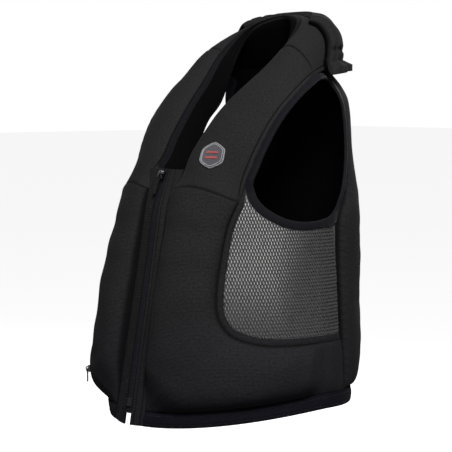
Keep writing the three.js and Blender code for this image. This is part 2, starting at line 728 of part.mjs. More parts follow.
const panelRings = frontPanelRings();
add("front_panel_left", loft(panelRings), cloth);
add("front_panel_right", loft(mirrorRings(panelRings)), cloth);

const seamStep = 0.006;
const collarLeft = collarRings(0, NAPE_SEAM - seamStep);
add("collar_left", loft(collarLeft), cloth);
add("collar_right", loft(mirrorRings(collarLeft)), cloth);
add("collar_back", loft(collarRings(NAPE_SEAM + seamStep, 2 * NAPE_MIDDLE - NAPE_SEAM - seamStep)), cloth);

add("nape_cover", loft(napeRings()), cloth);
add("chest_patch", patchGeometry(solids.collar_left.geometry), 0x6f7076);

add("back_panel", loft(backRings()), cloth);

const trim = trimRings();
add("side_trim_left", loft(trim), binding);
add("side_trim_right", loft(mirrorRings(trim)), binding);

const net = netRings();
add("side_mesh_left", loft(net), 0x4a4b4d);
add("side_mesh_right", loft(mirrorRings(net)), 0x4a4b4d);

const armholeBinding = bindingRings();
add("armhole_binding_left", loft(armholeBinding, true), binding);
add("armhole_binding_right", loft(mirrorRings(armholeBinding), true), binding);

add("hem_band", loft(hemRings()), cloth);

// The guard reaches over the tape of its own half up to the slit
const placketEdge = PLACKET_HALF - SEAM_GAP;
add("zip_tape_left", loft(zipStrip(ZIP_SLIT, TAPE_HALF, 3, -0.8, 0.8, ZIP_END)), 0x1a1b26);
add("zip_tape_right", loft(mirrorRings(zipStrip(ZIP_SLIT, TAPE_HALF, 3, -2.2, -0.5, ZIP_END))), 0x1a1b26);
add("zip_placket_left", loft(zipStrip(TAPE_HALF + SEAM_GAP, placketEdge, 4, 0, SHELL)), cloth);
add("zip_guard_right", loft(mirrorRings(zipStrip(ZIP_SLIT, placketEdge, 5, 0, SHELL))), cloth);
add("zip_coil", loft(zipStrip(-COIL_HALF, COIL_HALF, 3, -4.4, -2.7, ZIP_END)), 0x101014);

// Slider and pull of the front zip: the pull lies down the zip and swings on the slider's bridge
const metal = 0x2a2a2e;
const zipFront = (z, lift) => trunk(0, z, keel(0, z) + SHELL + lift);
const zipDown = zipFront(ZIP_TOP - 24, 0).sub(zipFront(ZIP_TOP - 4, 0)).normalize();
const zipOut = new THREE.Vector3(0, zipDown.z, -zipDown.y);
const zipSeat = zipFront(ZIP_TOP - 2, 0.6);
const zipPivot = zipSeat.clone().addScaledVector(zipDown, FRONT_SLIDER.length / 2)
  .addScaledVector(zipOut, FRONT_SLIDER.wall + FRONT_SLIDER.tunnel / 2);
add("zip_slider", seat(sliderSolid(FRONT_SLIDER), zipSeat, zipDown, zipOut), metal);
add("zip_pull", seat(pullSolid(FRONT_SLIDER), zipPivot, zipDown, zipOut), metal);

// Box at the foot of the front zip
const boxRings = zipStrip(ZIP_SLIT + 0.5, TAPE_HALF - 3, 3, 1.2, 3.4, ZIP_END + 1, ZIP_END + 11);
add("zip_box", loft(boxRings), 0x8d8f94);

// Pocket zip on the right front panel, with its slider at the lower end and the pull hanging
const rightPanel = solids.front_panel_right.geometry;
const pocketOut = trunk(-POCKET_DEG, POCKET_LOW, 1).sub(trunk(-POCKET_DEG, POCKET_LOW, 0));
const pocketSpot = (girth, z, lift) => {
  const deg = -POCKET_DEG - degrees(girth);
  const from = trunk(deg, z, 90);
  const inward = trunk(deg, z, 0).sub(from).normalize();
  return surfaceUnder(rightPanel, from, inward).addScaledVector(inward, -lift);
};
const pocketRings = Array.from({ length: 9 }, (_, i) => {
  const z = lerp(POCKET_TOP, POCKET_LOW, i / 8);
  const girths = [-1, -0.34, 0.34, 1].map((g) => (g * POCKET_TAPE) / 2);
  const outside = girths.map((g) => pocketSpot(g, z, 1.9));
  const inside = girths.map((g) => pocketSpot(g, z, 0.7));
  return [...outside, ...inside.reverse()];
});
add("pocket_zip_tape", loft(pocketRings), 0x1a1b26);

const pocketSeatZ = POCKET_LOW + POCKET_SLIDER.length + 1;
const pocketDown = pocketSpot(0, pocketSeatZ - 9, 0).sub(pocketSpot(0, pocketSeatZ, 0)).normalize();
const pocketSeat = pocketSpot(0, pocketSeatZ, 3.2);
const pocketSquare = pocketDown.clone().cross(pocketOut).cross(pocketDown).normalize();
const pocketPivot = pocketSeat.clone().addScaledVector(pocketDown, POCKET_SLIDER.length / 2)
  .addScaledVector(pocketSquare, POCKET_SLIDER.wall + POCKET_SLIDER.tunnel / 2);
add("pocket_slider", seat(sliderSolid(POCKET_SLIDER), pocketSeat, pocketDown, pocketOut), metal);
add("pocket_pull", seat(pullSolid(POCKET_SLIDER), pocketPivot, new THREE.Vector3(0, 0, -1), pocketOut), metal);

const vest = new THREE.Group();
for (const [name, { geometry, colour }] of Object.entries(solids)) {
  const mesh = new THREE.Mesh(geometry, new THREE.MeshStandardMaterial({ color: colour, roughness: 0.8 }));
  mesh.name = name;
  vest.add(mesh);
}
export default vest;
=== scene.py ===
"""Looks of an inflated airbag riding vest, in the form it has when worn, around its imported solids.

The pattern is in millimetres, and in degrees about the trunk from the zip toward the wearer's left,
as in the part's source. mesh_object turns points into metres.
"""
import math

import bmesh
import bpy
import numpy as np
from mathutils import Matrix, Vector


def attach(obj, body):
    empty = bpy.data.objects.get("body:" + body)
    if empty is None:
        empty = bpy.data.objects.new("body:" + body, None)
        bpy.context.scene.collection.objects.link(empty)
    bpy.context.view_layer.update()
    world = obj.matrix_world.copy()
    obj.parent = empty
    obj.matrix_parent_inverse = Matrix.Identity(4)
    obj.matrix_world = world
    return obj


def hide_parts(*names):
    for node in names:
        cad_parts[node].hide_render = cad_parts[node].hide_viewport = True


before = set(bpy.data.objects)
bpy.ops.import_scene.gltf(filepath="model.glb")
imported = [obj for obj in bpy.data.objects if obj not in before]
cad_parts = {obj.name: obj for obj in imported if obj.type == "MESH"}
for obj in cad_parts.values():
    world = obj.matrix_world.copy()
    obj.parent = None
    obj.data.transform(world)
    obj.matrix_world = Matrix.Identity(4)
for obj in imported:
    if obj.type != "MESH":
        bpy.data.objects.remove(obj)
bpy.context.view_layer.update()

BODY = "vest"
MM = 0.001
DEG = math.pi / 180
MIRROR = np.array([-1.0, 1.0, 1.0])

# Sizes of the pattern, as in the part's source

SHELL = 2.4
SEAM_GAP = 0.5
SEAM_EDGE = 3.2
PATTERN_RADIUS = 155
PLACKET_HALF = 26.5
ZIP_SLIT = 0.5
ZIP_TOP = -103
ZIP_END = -401
ZIP_KEEL = 6
KEEL_FADE = 55
HEM_SIDE_Z = -401
HEM_FRONT_DIP = 22
HEM_BACK_DIP = 6
HEM_HEIGHT = 18.5
HEM_WALL = 3.4
TRIM_WIDTH = 7
NET_WALL = 2.6
NET_TIP_DEG = 48.7
REAR_SEAM_DEG = 106
BIND_WIDTH = 9
BIND_WALL = 4.2
BACK_PUFF = 19
BACK_TOP_Z = 20
SPINE_DEG = 180
SPINE_GROOVE = 6
CHEST_SEAM_RISE = 11
NAPE_SEAM = 5
NAPE_MIDDLE = 7
NAPE_COVER_SLANT = 0.45
NAPE_GAP = 1.4
NAPE_PUFF = 12
PATCH_STATION = 1.35
PATCH_SHARE = 0.61
PATCH_RADIUS = 17
POCKET_DEG = 41
POCKET_TOP = -328
POCKET_LOW = -380
POCKET_TAPE = 9

# Sizes of the pattern that differ from the source's, or that only the scene has

PLACKET_TOP_HALF = 33
PLACKET_SPREAD_Z = -136
TAPE_HALF = 7.2
TAPE_END = -409
HEM_DRAWN_IN = 14
TRIM_TIP = (48.0, -120.0)
NAPE_COVER_HALF = 1.18
NAPE_EDGE = 4.2
NAPE_FLAP = 13
NAPE_FLAP_FROM = 0.72
NAPE_FLAP_DROP = (3, 11)
NAPE_FLAP_WALL = 8

# Sizes of the sewing, in the scene alone

LAP = 1.2
PAD_FLANGE = {"left": 0.02, "right": 0.0}
TRIM_SEAMS = (0.2, 0.82)
HEM_SEAMS = (0.22, 0.8)
PLACKET_SEAMS = (12.0, 20.5)
GUARD_SEAMS = (4.5, 9.0, 20.5)
COLLAR_EDGE_SEAM = 5.0
COLLAR_FACING_SEAM = 2.25
NET_PITCH = 3.9
NET_ROW = 4.4
NET_LEAN = 0.1
NET_HOLE = (0.42, 0.80)
NET_BACK_LIFT = (0.3, 1.2)


def table(columns, *rows):
    """A short table as one array for each named column."""
    return {name: np.array([row[i] for row in rows], float) for i, name in enumerate(columns.split())}


TRUNK = table(
    "z half_width front back",
    (-430, 171, 185, 115),
    (-340, 162, 169.5, 118),
    (-260, 155, 155, 122),
    (-200, 151, 144.5, 125),
    (-150, 149.5, 136, 127),
    (-110, 149, 124.5, 129),
    (-70, 147, 114, 130),
    (-20, 139, 100, 129),
    (0, 128, 92, 122),
    (30, 104, 80, 106),
)

PLACKET_DEG = PLACKET_HALF / PATTERN_RADIUS / DEG
ON_HEM = float("nan")
FRONT_PANEL = table(
    "edge_deg edge_z seam_deg seam_z puff",
    (PLACKET_DEG, -128, 46, -141, 15),
    (PLACKET_DEG, -165, 42, -172, 19),
    (PLACKET_DEG, -215, 40, -215, 27),
    (PLACKET_DEG, -275, 39.2, -256, 31),
    (PLACKET_DEG, -335, 41, -284, 29),
    (PLACKET_DEG, ON_HEM, 47, -304, 27),
    (30, ON_HEM, 58, -315, 26),
    (54, ON_HEM, 70, -318, 27),
    (74, ON_HEM, 79, -318, 23),
    (88, ON_HEM, 90, -318, 5),
    (REAR_SEAM_DEG, ON_HEM, REAR_SEAM_DEG, -318, 2),
)
PANEL_ROWS = len(FRONT_PANEL["puff"]) - 1

# The inner wall of the two lowest rows is deeper here than in the source
COLLAR = table(
    "roll_x roll_y roll_z out_x out_y out_z wall crown belly",
    (27, -112, -95, 112, -85, -115, 38, 17, 2),
    (29, -89, -60, 118, -68, -75, 38, 15, 3),
    (36, -57, -23, 122.5, -45, -38.5, 34, 15, 4),
    (47, -23, 8, 124.5, -10, -5, 36, 15, 4),
    (58, 20, 49, 113, 30, 16, 24, 18, 4),
    (45, 62, 86, 82, 84, 28, 11, 21, 4),
    (0, 84, 98, 0, 116, 32, 9, 22, 4),
)

COLLAR_SHAPE = table(
    "across wall crown",
    (0, -1, 0),
    (-0.03, -0.55, 0),
    (0, -0.1, 0.1),
    (0.1, 0, 0.55),
    (0.28, 0, 0.94),
    (0.5, 0, 1),
    (0.7, 0, 0.8),
    (0.88, 0, 0.42),
    (1, 0, 0),
)
SECTION = len(COLLAR_SHAPE["across"])
ACROSS = SECTION - 1

ARMHOLE_FLOOR = table(
    "deg z",
    (48, -117),
    (49.3, -129),
    (52.5, -143),
    (57.4, -155),
    (63.6, -164.5),
    (70, -171.5),
    (80, -176),
    (93, -175),
    (REAR_SEAM_DEG, -167),
)

ARMHOLE_REAR = table(
    "z deg",
    (-176, REAR_SEAM_DEG),
    (-160, 108.5),
    (-140, 116),
    (-110, 124),
    (-70, 129),
    (-20, 128),
    (22, 124),
)

# Other folds than the source's
NAPE_FOLDS = table(
    "at width depth lean",
    (0.86, 0.02, 0.32, 0.05),
    (0.68, 0.028, 0.42, 0.12),
    (0.4, 0.05, 0.22, -0.15),
)

# How far the back goes up under the collar, in the scene alone
BACK_UNDER_COLLAR = table(
    "off_spine rise",
    (0, 11),
    (30, 9.5),
    (44, 7),
    (56, -1.5),
)

# Curves and surfaces


def reader(rows, key):
    """Reads a table between its rows with a smooth curve through them."""
    order = np.argsort(rows[key])
    x = rows[key][order]
    last = len(x) - 1

    def at(value, name):
        y = rows[name][order]
        before = np.maximum(np.arange(last + 1) - 1, 0)
        after = np.minimum(np.arange(last + 1) + 1, last)
        slope = (y[after] - y[before]) / (x[after] - x[before])
        v = np.clip(value, x[0], x[last])
        i = np.clip(np.searchsorted(x, v, side="left") - 1, 0, last - 1)
        span = x[i + 1] - x[i]
        t = (v - x[i]) / span
        rise = t * t * (3 - 2 * t)
        leave = t * (1 - t) ** 2 * span * slope[i]
        arrive = t * t * (t - 1) * span * slope[i + 1]
        return y[i] + (y[i + 1] - y[i]) * rise + leave + arrive

    return at


trunk_at = reader(TRUNK, "z")
floor_at = reader(ARMHOLE_FLOOR, "deg")
rear_at = reader(ARMHOLE_REAR, "z")


def lerp(a, b, t):
    return a + (b - a) * t


def smoothstep(x, low, high):
    t = np.clip((x - low) / (high - low), 0, 1)
    return t * t * (3 - 2 * t)


def bell(x, width):
    return np.exp(-((x / width) ** 2))


def unit(v):
    return v / np.maximum(np.linalg.norm(v, axis=-1, keepdims=True), 1e-9)


def steps(points, axis=0):
    """Distances from each point to the next."""
    return np.linalg.norm(np.diff(points, axis=axis), axis=-1)


def run_of(line):
    """Distances of a line's points from its start, along the line."""
    return np.append(0, steps(line).cumsum())


def together(*values):
    """Values of like shape in one last axis."""
    return np.stack(np.broadcast_arrays(*values), -1)


def trunk(deg, z, lift):
    """Points of the trunk, lifted level and square to it."""
    deg, z, lift = np.broadcast_arrays(*(np.asarray(v, float) for v in (deg, z, lift)))
    half_width = trunk_at(z, "half_width")
    sine, cosine = np.sin(deg * DEG), np.cos(deg * DEG)
    depth = np.where(cosine > 0, trunk_at(z, "front"), trunk_at(z, "back"))
    square = unit(np.stack([sine / half_width, -cosine / depth], -1))
    x = half_width * sine + lift * square[..., 0]
    y = -depth * cosine + lift * square[..., 1]
    return np.stack([x, y, z], -1)


def degrees(girth):
    return girth / PATTERN_RADIUS / DEG


def girth_at(deg):
    return deg * DEG * PATTERN_RADIUS


def hem_bottom(deg):
    cosine = np.cos(np.asarray(deg, float) * DEG)
    dip = np.where(cosine > 0, HEM_FRONT_DIP, HEM_BACK_DIP)
    return HEM_SIDE_Z - dip * np.abs(cosine) ** 1.5


def hem_top(deg):
    return hem_bottom(deg) + HEM_HEIGHT


def pillow(share, power=2.6, fullness=0.55):
    """Height of a filled chamber across its width."""
    return np.maximum(0, 1 - np.abs(2 * share - 1) ** power) ** fullness


def edge_shares(count, crowd=0.75):
    """Shares from 0 to 1, closer together toward both ends."""
    even = np.linspace(0, 1, count)
    return lerp(even, 0.5 - 0.5 * np.cos(math.pi * even), crowd)


def ripple(points, size, seed, count=8):
    """Smooth waves about as long as size, the same in every run."""
    rng = np.random.default_rng(seed)
    total = np.zeros(points.shape[:-1])
    for _ in range(count):
        way = unit(rng.normal(size=3))
        pitch = 2 * math.pi / size * (0.65 + 0.7 * rng.random())
        total += np.sin(points @ way * pitch + rng.random() * 2 * math.pi)
    return total / math.sqrt(count)


def dents(points, seed, *waves):
    """Unevenness of a filling, from waves given by height and length."""
    return sum(height * ripple(points, size, seed + k) for k, (height, size) in enumerate(waves))


def curve_spans(at, last, ndim):
    """Span of a curve that each place is in, and its share of it."""
    i = np.clip(np.floor(at).astype(int), 0, last - 1)
    return i, np.clip(at - i, 0, 1).reshape((-1,) + (1,) * (ndim - 1))


def even_curve(points, at):
    """Even Catmull-Rom curve through points along axis 0, at places counted in points."""
    last = len(points) - 1
    i, w = curve_spans(at, last, points.ndim)
    p0, p1 = points[np.maximum(i - 1, 0)], points[i]
    p2, p3 = points[i + 1], points[np.minimum(i + 2, last)]
    v0, v1 = (p2 - p0) / 2, (p3 - p1) / 2
    return (2 * p1 - 2 * p2 + v0 + v1) * w**3 + (-3 * p1 + 3 * p2 - 2 * v0 - v1) * w**2 + v0 * w + p1


def even_across(points, at):
    """The even curve along axis 1."""
    return np.moveaxis(even_curve(np.moveaxis(points, 1, 0), at), 0, 1)


def tight_curve(points, at, loop=False):
    """Centripetal Catmull-Rom curve through points along axis 0, at places counted in points."""
    if loop:
        points = np.concatenate([points[-1:], points, points[:2]])
    else:
        points = np.concatenate([2 * points[:1] - points[1:2], points, 2 * points[-1:] - points[-2:-1]])
    i, w = curve_spans(at, len(points) - 3, points.ndim)
    p0, p1, p2, p3 = (points[i + k] for k in range(4))
    d0, d1, d2 = (np.maximum(np.linalg.norm(b - a, axis=-1, keepdims=True) ** 0.5, 1e-4)
                  for a, b in ((p0, p1), (p1, p2), (p2, p3)))
    t1 = ((p1 - p0) / d0 - (p2 - p0) / (d0 + d1) + (p2 - p1) / d1) * d1
    t2 = ((p2 - p1) / d1 - (p3 - p1) / (d1 + d2) + (p3 - p2) / d2) * d1
    return p1 + t1 * w + (-3 * p1 + 3 * p2 - 2 * t1 - t2) * w**2 + (2 * p1 - 2 * p2 + t1 + t2) * w**3


def normals(outer, inner):
    """Directions square to an outer grid of points, away from the inner one."""
    square = unit(np.cross(np.gradient(outer, axis=1), np.gradient(outer, axis=0)))
    return square if (square * (outer - inner)).sum() > 0 else -square


# Mesh making

BOX_FACES = np.array([(0, 1, 3, 2), (4, 6, 7, 5), (0, 4, 5, 1), (2, 3, 7, 6), (0, 2, 6, 4), (1, 5, 7, 3)])


def mesh_object(name, points, faces, materials, slots=None, uv=None, marks=None):
    """A smooth mesh from millimetres, with flat pattern coordinates and named marks on its points."""
    mesh = bpy.data.meshes.new(name)
    mesh.from_pydata((points * MM).tolist(), [], faces)
    for m in materials:
        mesh.materials.append(m)
    if slots is not None:
        mesh.polygons.foreach_set("material_index", np.asarray(slots, np.int32))
    mesh.polygons.foreach_set("use_smooth", np.ones(len(mesh.polygons), bool))
    if uv is not None:
        corner = np.empty(len(mesh.loops), np.int32)
        mesh.loops.foreach_get("vertex_index", corner)
        layer = mesh.uv_layers.new(name="pattern")
        layer.data.foreach_set("uv", uv[corner].astype(np.float32).ravel())
    for mark, value in (marks or {}).items():
        layer = mesh.attributes.new(mark, "FLOAT", "POINT")
        layer.data.foreach_set("value", value.astype(np.float32))
    mesh.update()
    obj = bpy.data.objects.new(name, mesh)
    bpy.context.collection.objects.link(obj)
    return obj


def shell(name, outer, inner, materials, loop=False, uv=None, seam=0.0, facing=0, ends=0):
    """A closed piece between an outer and an inner grid of points. Slots: outside, inside, facing."""
    n, m = outer.shape[:2]
    number = np.arange(n * m).reshape(n, m)
    rows = np.arange(n if loop else n - 1)
    after = (rows + 1) % n

    def quads(a, b, c, d):
        return np.stack([a, b, c, d], -1).reshape(-1, 4)

    def wall(a, b, turn):
        return quads(a, b, b + n * m, a + n * m)[:, ::turn]

    top = quads(number[rows, :-1], number[rows, 1:], number[after, 1:], number[after, :-1])
    low = top[:, ::-1] + n * m
    walls = [wall(number[rows, j], number[after, j], turn) for j, turn in ((0, 1), (m - 1, -1))]
    if not loop:
        walls += [wall(number[i, :-1], number[i, 1:], turn) for i, turn in ((0, -1), (n - 1, 1))]
    faces = np.concatenate([top, low] + walls)
    points = np.concatenate([outer.reshape(-1, 3), inner.reshape(-1, 3)])
    a, b, c, d = (points[faces[:, k]] for k in range(4))
    if np.einsum("ij,ij->i", a, np.cross(b, c) + np.cross(c, d)).sum() < 0:
        faces = faces[:, ::-1]
    outside = np.broadcast_to(facing, (n, m))[: len(rows), : m - 1]
    wall_slots = [np.full(len(side), slot) for side, slot in zip(walls, (0, 0, ends, ends))]
    slots = np.concatenate([outside.ravel(), np.ones(len(low), int)] + wall_slots)
    if uv is None:
        v, u = (np.append(0, steps(outer, axis).mean(1 - axis).cumsum()) for axis in (0, 1))
        uv = np.stack(np.meshgrid(u, v), -1)
    uv = np.concatenate([uv.reshape(-1, 2), uv.reshape(-1, 2)])
    # The seam mark says where materials paint shade: seams, grooves, folds and shadowed places.
    marks = {"seam": np.concatenate([np.broadcast_to(seam, (n, m)).ravel(), np.zeros(n * m)])}
    obj = mesh_object(name, points, faces.tolist(), materials, slots, uv, marks)
    obj.data.set_sharp_from_angle(angle=1.1)
    return obj


def belongs(obj, slot, *nodes):
    """The piece moves with the vest and stands for the nodes. The slot is not used."""
    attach(obj, BODY)
    if nodes:
        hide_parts(*nodes)
    return obj


def handed(points, side):
    """Points of the left side, carried to the named one."""
    return points * MIRROR if side == "right" else points


def piece(name, slot, nodes, outer, inner, materials, side="left", **looks):
    """A shell on its own side that belongs to the vest."""
    return belongs(shell(name, handed(outer, side), handed(inner, side), materials, **looks), slot, *nodes)


# Cloth simulation: a coarse copy of a chamber settles, and the fine mesh takes its moves

SETTLE_FRAMES = 20
SETTLE_PRESSURE = 4.0


def settle(outer, inner, hold, cap):
    """How far a chamber's cloth moves when its filling presses on it, its seams and inside held."""
    count = outer.shape[0] * outer.shape[1]
    obj = shell("settling", outer, inner, [CLOTH, LINING])
    group = obj.vertex_groups.new(name="held")
    group.add(np.flatnonzero(hold.ravel()).tolist() + list(range(count, 2 * count)), 1.0, "REPLACE")
    cloth = obj.modifiers.new("settle", "CLOTH")
    settings = cloth.settings
    settings.quality = 5
    settings.mass = 0.3
    settings.tension_stiffness = settings.compression_stiffness = 15
    settings.shear_stiffness = 5
    settings.bending_stiffness = 10
    settings.use_pressure = True
    settings.uniform_pressure_force = SETTLE_PRESSURE
    settings.vertex_group_mass = group.name
    settings.effector_weights.gravity = 0
    cloth.collision_settings.use_collision = False
    cloth.point_cache.frame_start, cloth.point_cache.frame_end = 1, SETTLE_FRAMES
    scene = bpy.context.scene
    for number in range(1, SETTLE_FRAMES + 1):
        scene.frame_set(number)
    mesh = obj.evaluated_get(bpy.context.evaluated_depsgraph_get()).data
    place = np.empty(len(mesh.vertices) * 3)
    mesh.vertices.foreach_get("co", place)
    moved = place.reshape(-1, 3)[:count].reshape(outer.shape) / MM - outer
    scene.frame_set(1)
    data = obj.data
    bpy.data.objects.remove(obj)
    bpy.data.meshes.remove(data)
    far = np.linalg.norm(moved, axis=-1, keepdims=True)
    return moved * np.minimum(1, cap / np.maximum(far, 1e-9))


def refine(moves, rows, columns):
    """Moves of a coarse grid, read at finer rows and columns counted in the coarse ones."""
    return even_across(even_curve(moves, rows), columns)


def border(rows, columns):
    mask = np.ones((rows, columns), bool)
    mask[1:-1, 1:-1] = False
    return mask


def settled(form, coarse, rows, columns, cap, spine=False):
    """Moves of a chamber on the trunk, at the shares of its fine rows and columns."""
    count, across = coarse
    shares = edge_shares(across, 0.5)
    deg, z, lift, *_ = form(np.linspace(0, 1, count), shares)
    hold = border(count, across)
    if spine:
        hold[:, across // 2 - 1:across // 2 + 2] = True
    moves = settle(trunk(deg, z, lift), trunk(deg, z, 0), hold, cap)
    return refine(moves, rows * (count - 1), np.interp(columns, shares, np.arange(across)))


# Materials


class Nodes:
    """A material's node tree, with short calls for the nodes that the cloths share."""

    def __init__(self, name, **values):
        self.material = bpy.data.materials.new(name)
        self.material.use_nodes = True
        self.tree = self.material.node_tree
        self.shader = self.tree.nodes["Principled BSDF"]
        for socket, value in values.items():
            self.shader.inputs[socket.replace("_", " ")].default_value = value
        self.pattern = self.add("ShaderNodeUVMap", uv_map="pattern").outputs["UV"]

    def feed(self, socket, value):
        """Gives a socket a number, a colour or another node's output."""
        if isinstance(value, bpy.types.NodeSocket):
            self.tree.links.new(value, socket)
        else:
            socket.default_value = value + (1,) if isinstance(value, tuple) else value

    def add(self, kind, inputs=None, **settings):
        node = self.tree.nodes.new(kind)
        for key, value in settings.items():
            setattr(node, key, value)
        for key, value in (inputs or {}).items():
            self.feed(node.inputs[key], value)
        return node

    def place(self):
        return self.add("ShaderNodeTexCoord").outputs["Object"]

    def bands(self, period, direction, vector=None):
        """Even bands, 0 to 1, with a period in the coordinates' own unit."""
        inputs = {"Vector": vector or self.pattern, "Scale": math.pi / 10 / period, "Distortion": 0.0}
        wave = self.add("ShaderNodeTexWave", inputs, wave_type="BANDS", bands_direction=direction)
        return wave.outputs["Fac"]

    def noise(self, size, detail, vector=None):
        inputs = {"Vector": vector or self.pattern, "Scale": 1 / size, "Detail": detail, "Roughness": 0.55}
        return self.add("ShaderNodeTexNoise", inputs).outputs["Fac"]

    def math(self, operation, a, b):
        return self.add("ShaderNodeMath", {0: a, 1: b}, operation=operation).outputs[0]

    def blend(self, a, part, b, rest):
        """Weighted sum of two values."""
        return self.math("ADD", self.math("MULTIPLY", a, part), self.math("MULTIPLY", b, rest))

    def ramp(self, source, *stops):
        """Colour between two stops, each a place and a colour."""
        node = self.add("ShaderNodeValToRGB", {"Fac": source})
        for element, (at, colour) in zip(node.color_ramp.elements, stops):
            element.position = at
            element.color = tuple(colour) + (1,)
        return node.outputs["Color"]

    def mix(self, fac, a, b, blend="MIX"):
        return self.add("ShaderNodeMix", {0: fac, 6: a, 7: b}, data_type="RGBA", blend_type=blend).outputs[2]

    # Seam mark times a share: painted shade in seams, grooves and folds, and painted shadow on the net's back
    # layer.
    def seam(self, share):
        mark = self.add("ShaderNodeAttribute", attribute_name="seam").outputs["Fac"]
        return self.math("MULTIPLY", mark, share)

    def bump(self, height, distance, strength, under=None):
        inputs = {"Height": height, "Distance": distance, "Strength": strength}
        if under is not None:
            inputs["Normal"] = under
        return self.add("ShaderNodeBump", inputs).outputs["Normal"]

    def finish(self, **sources):
        for socket, source in sources.items():
            self.tree.links.new(source, self.shader.inputs[socket.replace("_", " ")])
        return self.material


def grey(value, tint=(1, 1, 1)):
    return tuple(value * t for t in tint)


def softshell(name, value, tint=(1.0, 1.0, 1.03)):
    """Knitted softshell: fine cross ribs with a finer wale, matt, with painted shade where the seam mark
    lies, and cooler low down.
    """
    n = Nodes(name, Roughness=0.95, Sheen_Weight=0.02, Sheen_Roughness=0.4, Specular_IOR_Level=0.05)
    rib = n.bands(1.6, "Y")
    wale = n.bands(1.1, "X")
    knit = n.math("MULTIPLY", rib, n.math("ADD", n.math("MULTIPLY", wale, 0.5), 0.5))
    broad = n.noise(38.0, 4.0)
    fine = n.noise(2.6, 2.0)
    shade = n.blend(knit, 0.3, fine, 0.7)
    base = n.ramp(shade, (0.22, grey(value * 0.45, tint)), (0.7, grey(value * 1.6, tint)))
    faded = n.mix(n.math("MULTIPLY", broad, 0.4), base, grey(value * 1.25, (1.02, 1.0, 0.98)))
    # Painted shade: darker along seams, pad edges, grooves and folds, by the seam mark.
    seam_shaded = n.mix(n.seam(0.85), faded, grey(value * 0.12, tint))
    height = n.add("ShaderNodeSeparateXYZ", {"Vector": n.place()}).outputs["Z"]
    fall = {"Value": height, "From Min": -0.24, "From Max": -0.42}
    low = n.add("ShaderNodeMapRange", fall).outputs["Result"]
    cool = n.mix(low, (1.0, 1.0, 1.0), (0.78, 0.78, 0.95))
    return n.finish(Base_Color=n.mix(1.0, seam_shaded, cool, "MULTIPLY"),
                    Normal=n.bump(knit, 0.0004, 0.5, n.bump(fine, 0.0005, 0.35)))


def tape(name, value, tint, rib=1.3):
    """Woven tape: ribs across its length."""
    n = Nodes(name, Roughness=0.7, Sheen_Weight=0.05, Sheen_Roughness=0.35, Specular_IOR_Level=0.15)
    ribs = n.bands(rib, "Y")
    fine = n.noise(1.4, 2.0)
    shade = n.blend(ribs, 0.5, fine, 0.5)
    colour = n.ramp(shade, (0.15, grey(value * 0.65, tint)), (0.85, grey(value * 1.35, tint)))
    return n.finish(Base_Color=colour, Normal=n.bump(ribs, 0.0004, 0.6, n.bump(fine, 0.0003, 0.3)))


def lining(name, value, tint=(1, 1, 1.05)):
    """Lining: a fine black mesh cloth with small round holes."""
    n = Nodes(name, Roughness=0.8, Specular_IOR_Level=0.03)
    inputs = {"Vector": n.pattern, "Scale": 0.38, "Randomness": 0.12}
    cells = n.add("ShaderNodeTexVoronoi", inputs, feature="F1").outputs["Distance"]
    colour = n.ramp(cells, (0.16, grey(value * 0.3, tint)), (0.5, grey(value * 1.5, tint)))
    return n.finish(Base_Color=colour, Normal=n.bump(cells, 0.0006, 0.6))


def hard(name, colour, metallic, roughness, wear=0.12):
    """Lacquered metal or moulded plastic with a rubbed, uneven surface."""
    n = Nodes(name, Metallic=metallic, Specular_IOR_Level=0.5)
    cloud = n.noise(0.004, 3.0, n.place())
    grain = n.noise(0.0006, 2.0, n.place())
    dull, rubbed = (tuple(min(1, c * part) for c in colour) for part in (1 - wear, 1 + 2 * wear))
    return n.finish(Base_Color=n.ramp(cloud, (0.35, dull), (0.7, rubbed)),
                    Roughness=n.math("ADD", n.math("MULTIPLY", cloud, 0.25), roughness - 0.12),
                    Normal=n.bump(grain, 0.00006, 0.35))


def yarn(name, value, painted_shade=0.0):
    """Net yarn, darkened with painted shade where its seam mark says so."""
    n = Nodes(name, Roughness=0.7, Sheen_Weight=0.05, Specular_IOR_Level=0.2)
    twist = n.bands(0.7, "DIAGONAL")
    shade = n.blend(twist, 0.4, n.noise(1.1, 2.0), 0.6)
    colour = n.ramp(shade, (0.2, grey(value * 0.6)), (0.8, grey(value * 1.5)))
    if painted_shade:
        colour = n.mix(n.seam(painted_shade), colour, grey(value * 0.08))
    return n.finish(Base_Color=colour, Normal=n.bump(twist, 0.0002, 0.5))


def satin(name, colour, turn):
    """Satin-stitched thread, its stitches turned by some degrees."""
    n = Nodes(name, Roughness=0.5, Sheen_Weight=0.2, Specular_IOR_Level=0.4)
    turned = n.add("ShaderNodeMapping", {"Vector": n.pattern})
    turned.inputs["Rotation"].default_value[2] = turn * DEG
    thread = n.bands(0.55, "X", turned.outputs["Vector"])
    shade = n.blend(thread, 0.6, n.noise(3.0, 2.0), 0.4)
    dull, bright = (tuple(min(1, c * part) for c in colour) for part in (0.72, 1.12))
    return n.finish(Base_Color=n.ramp(shade, (0.15, dull), (0.8, bright)), Normal=n.bump(thread, 0.0003, 0.6))


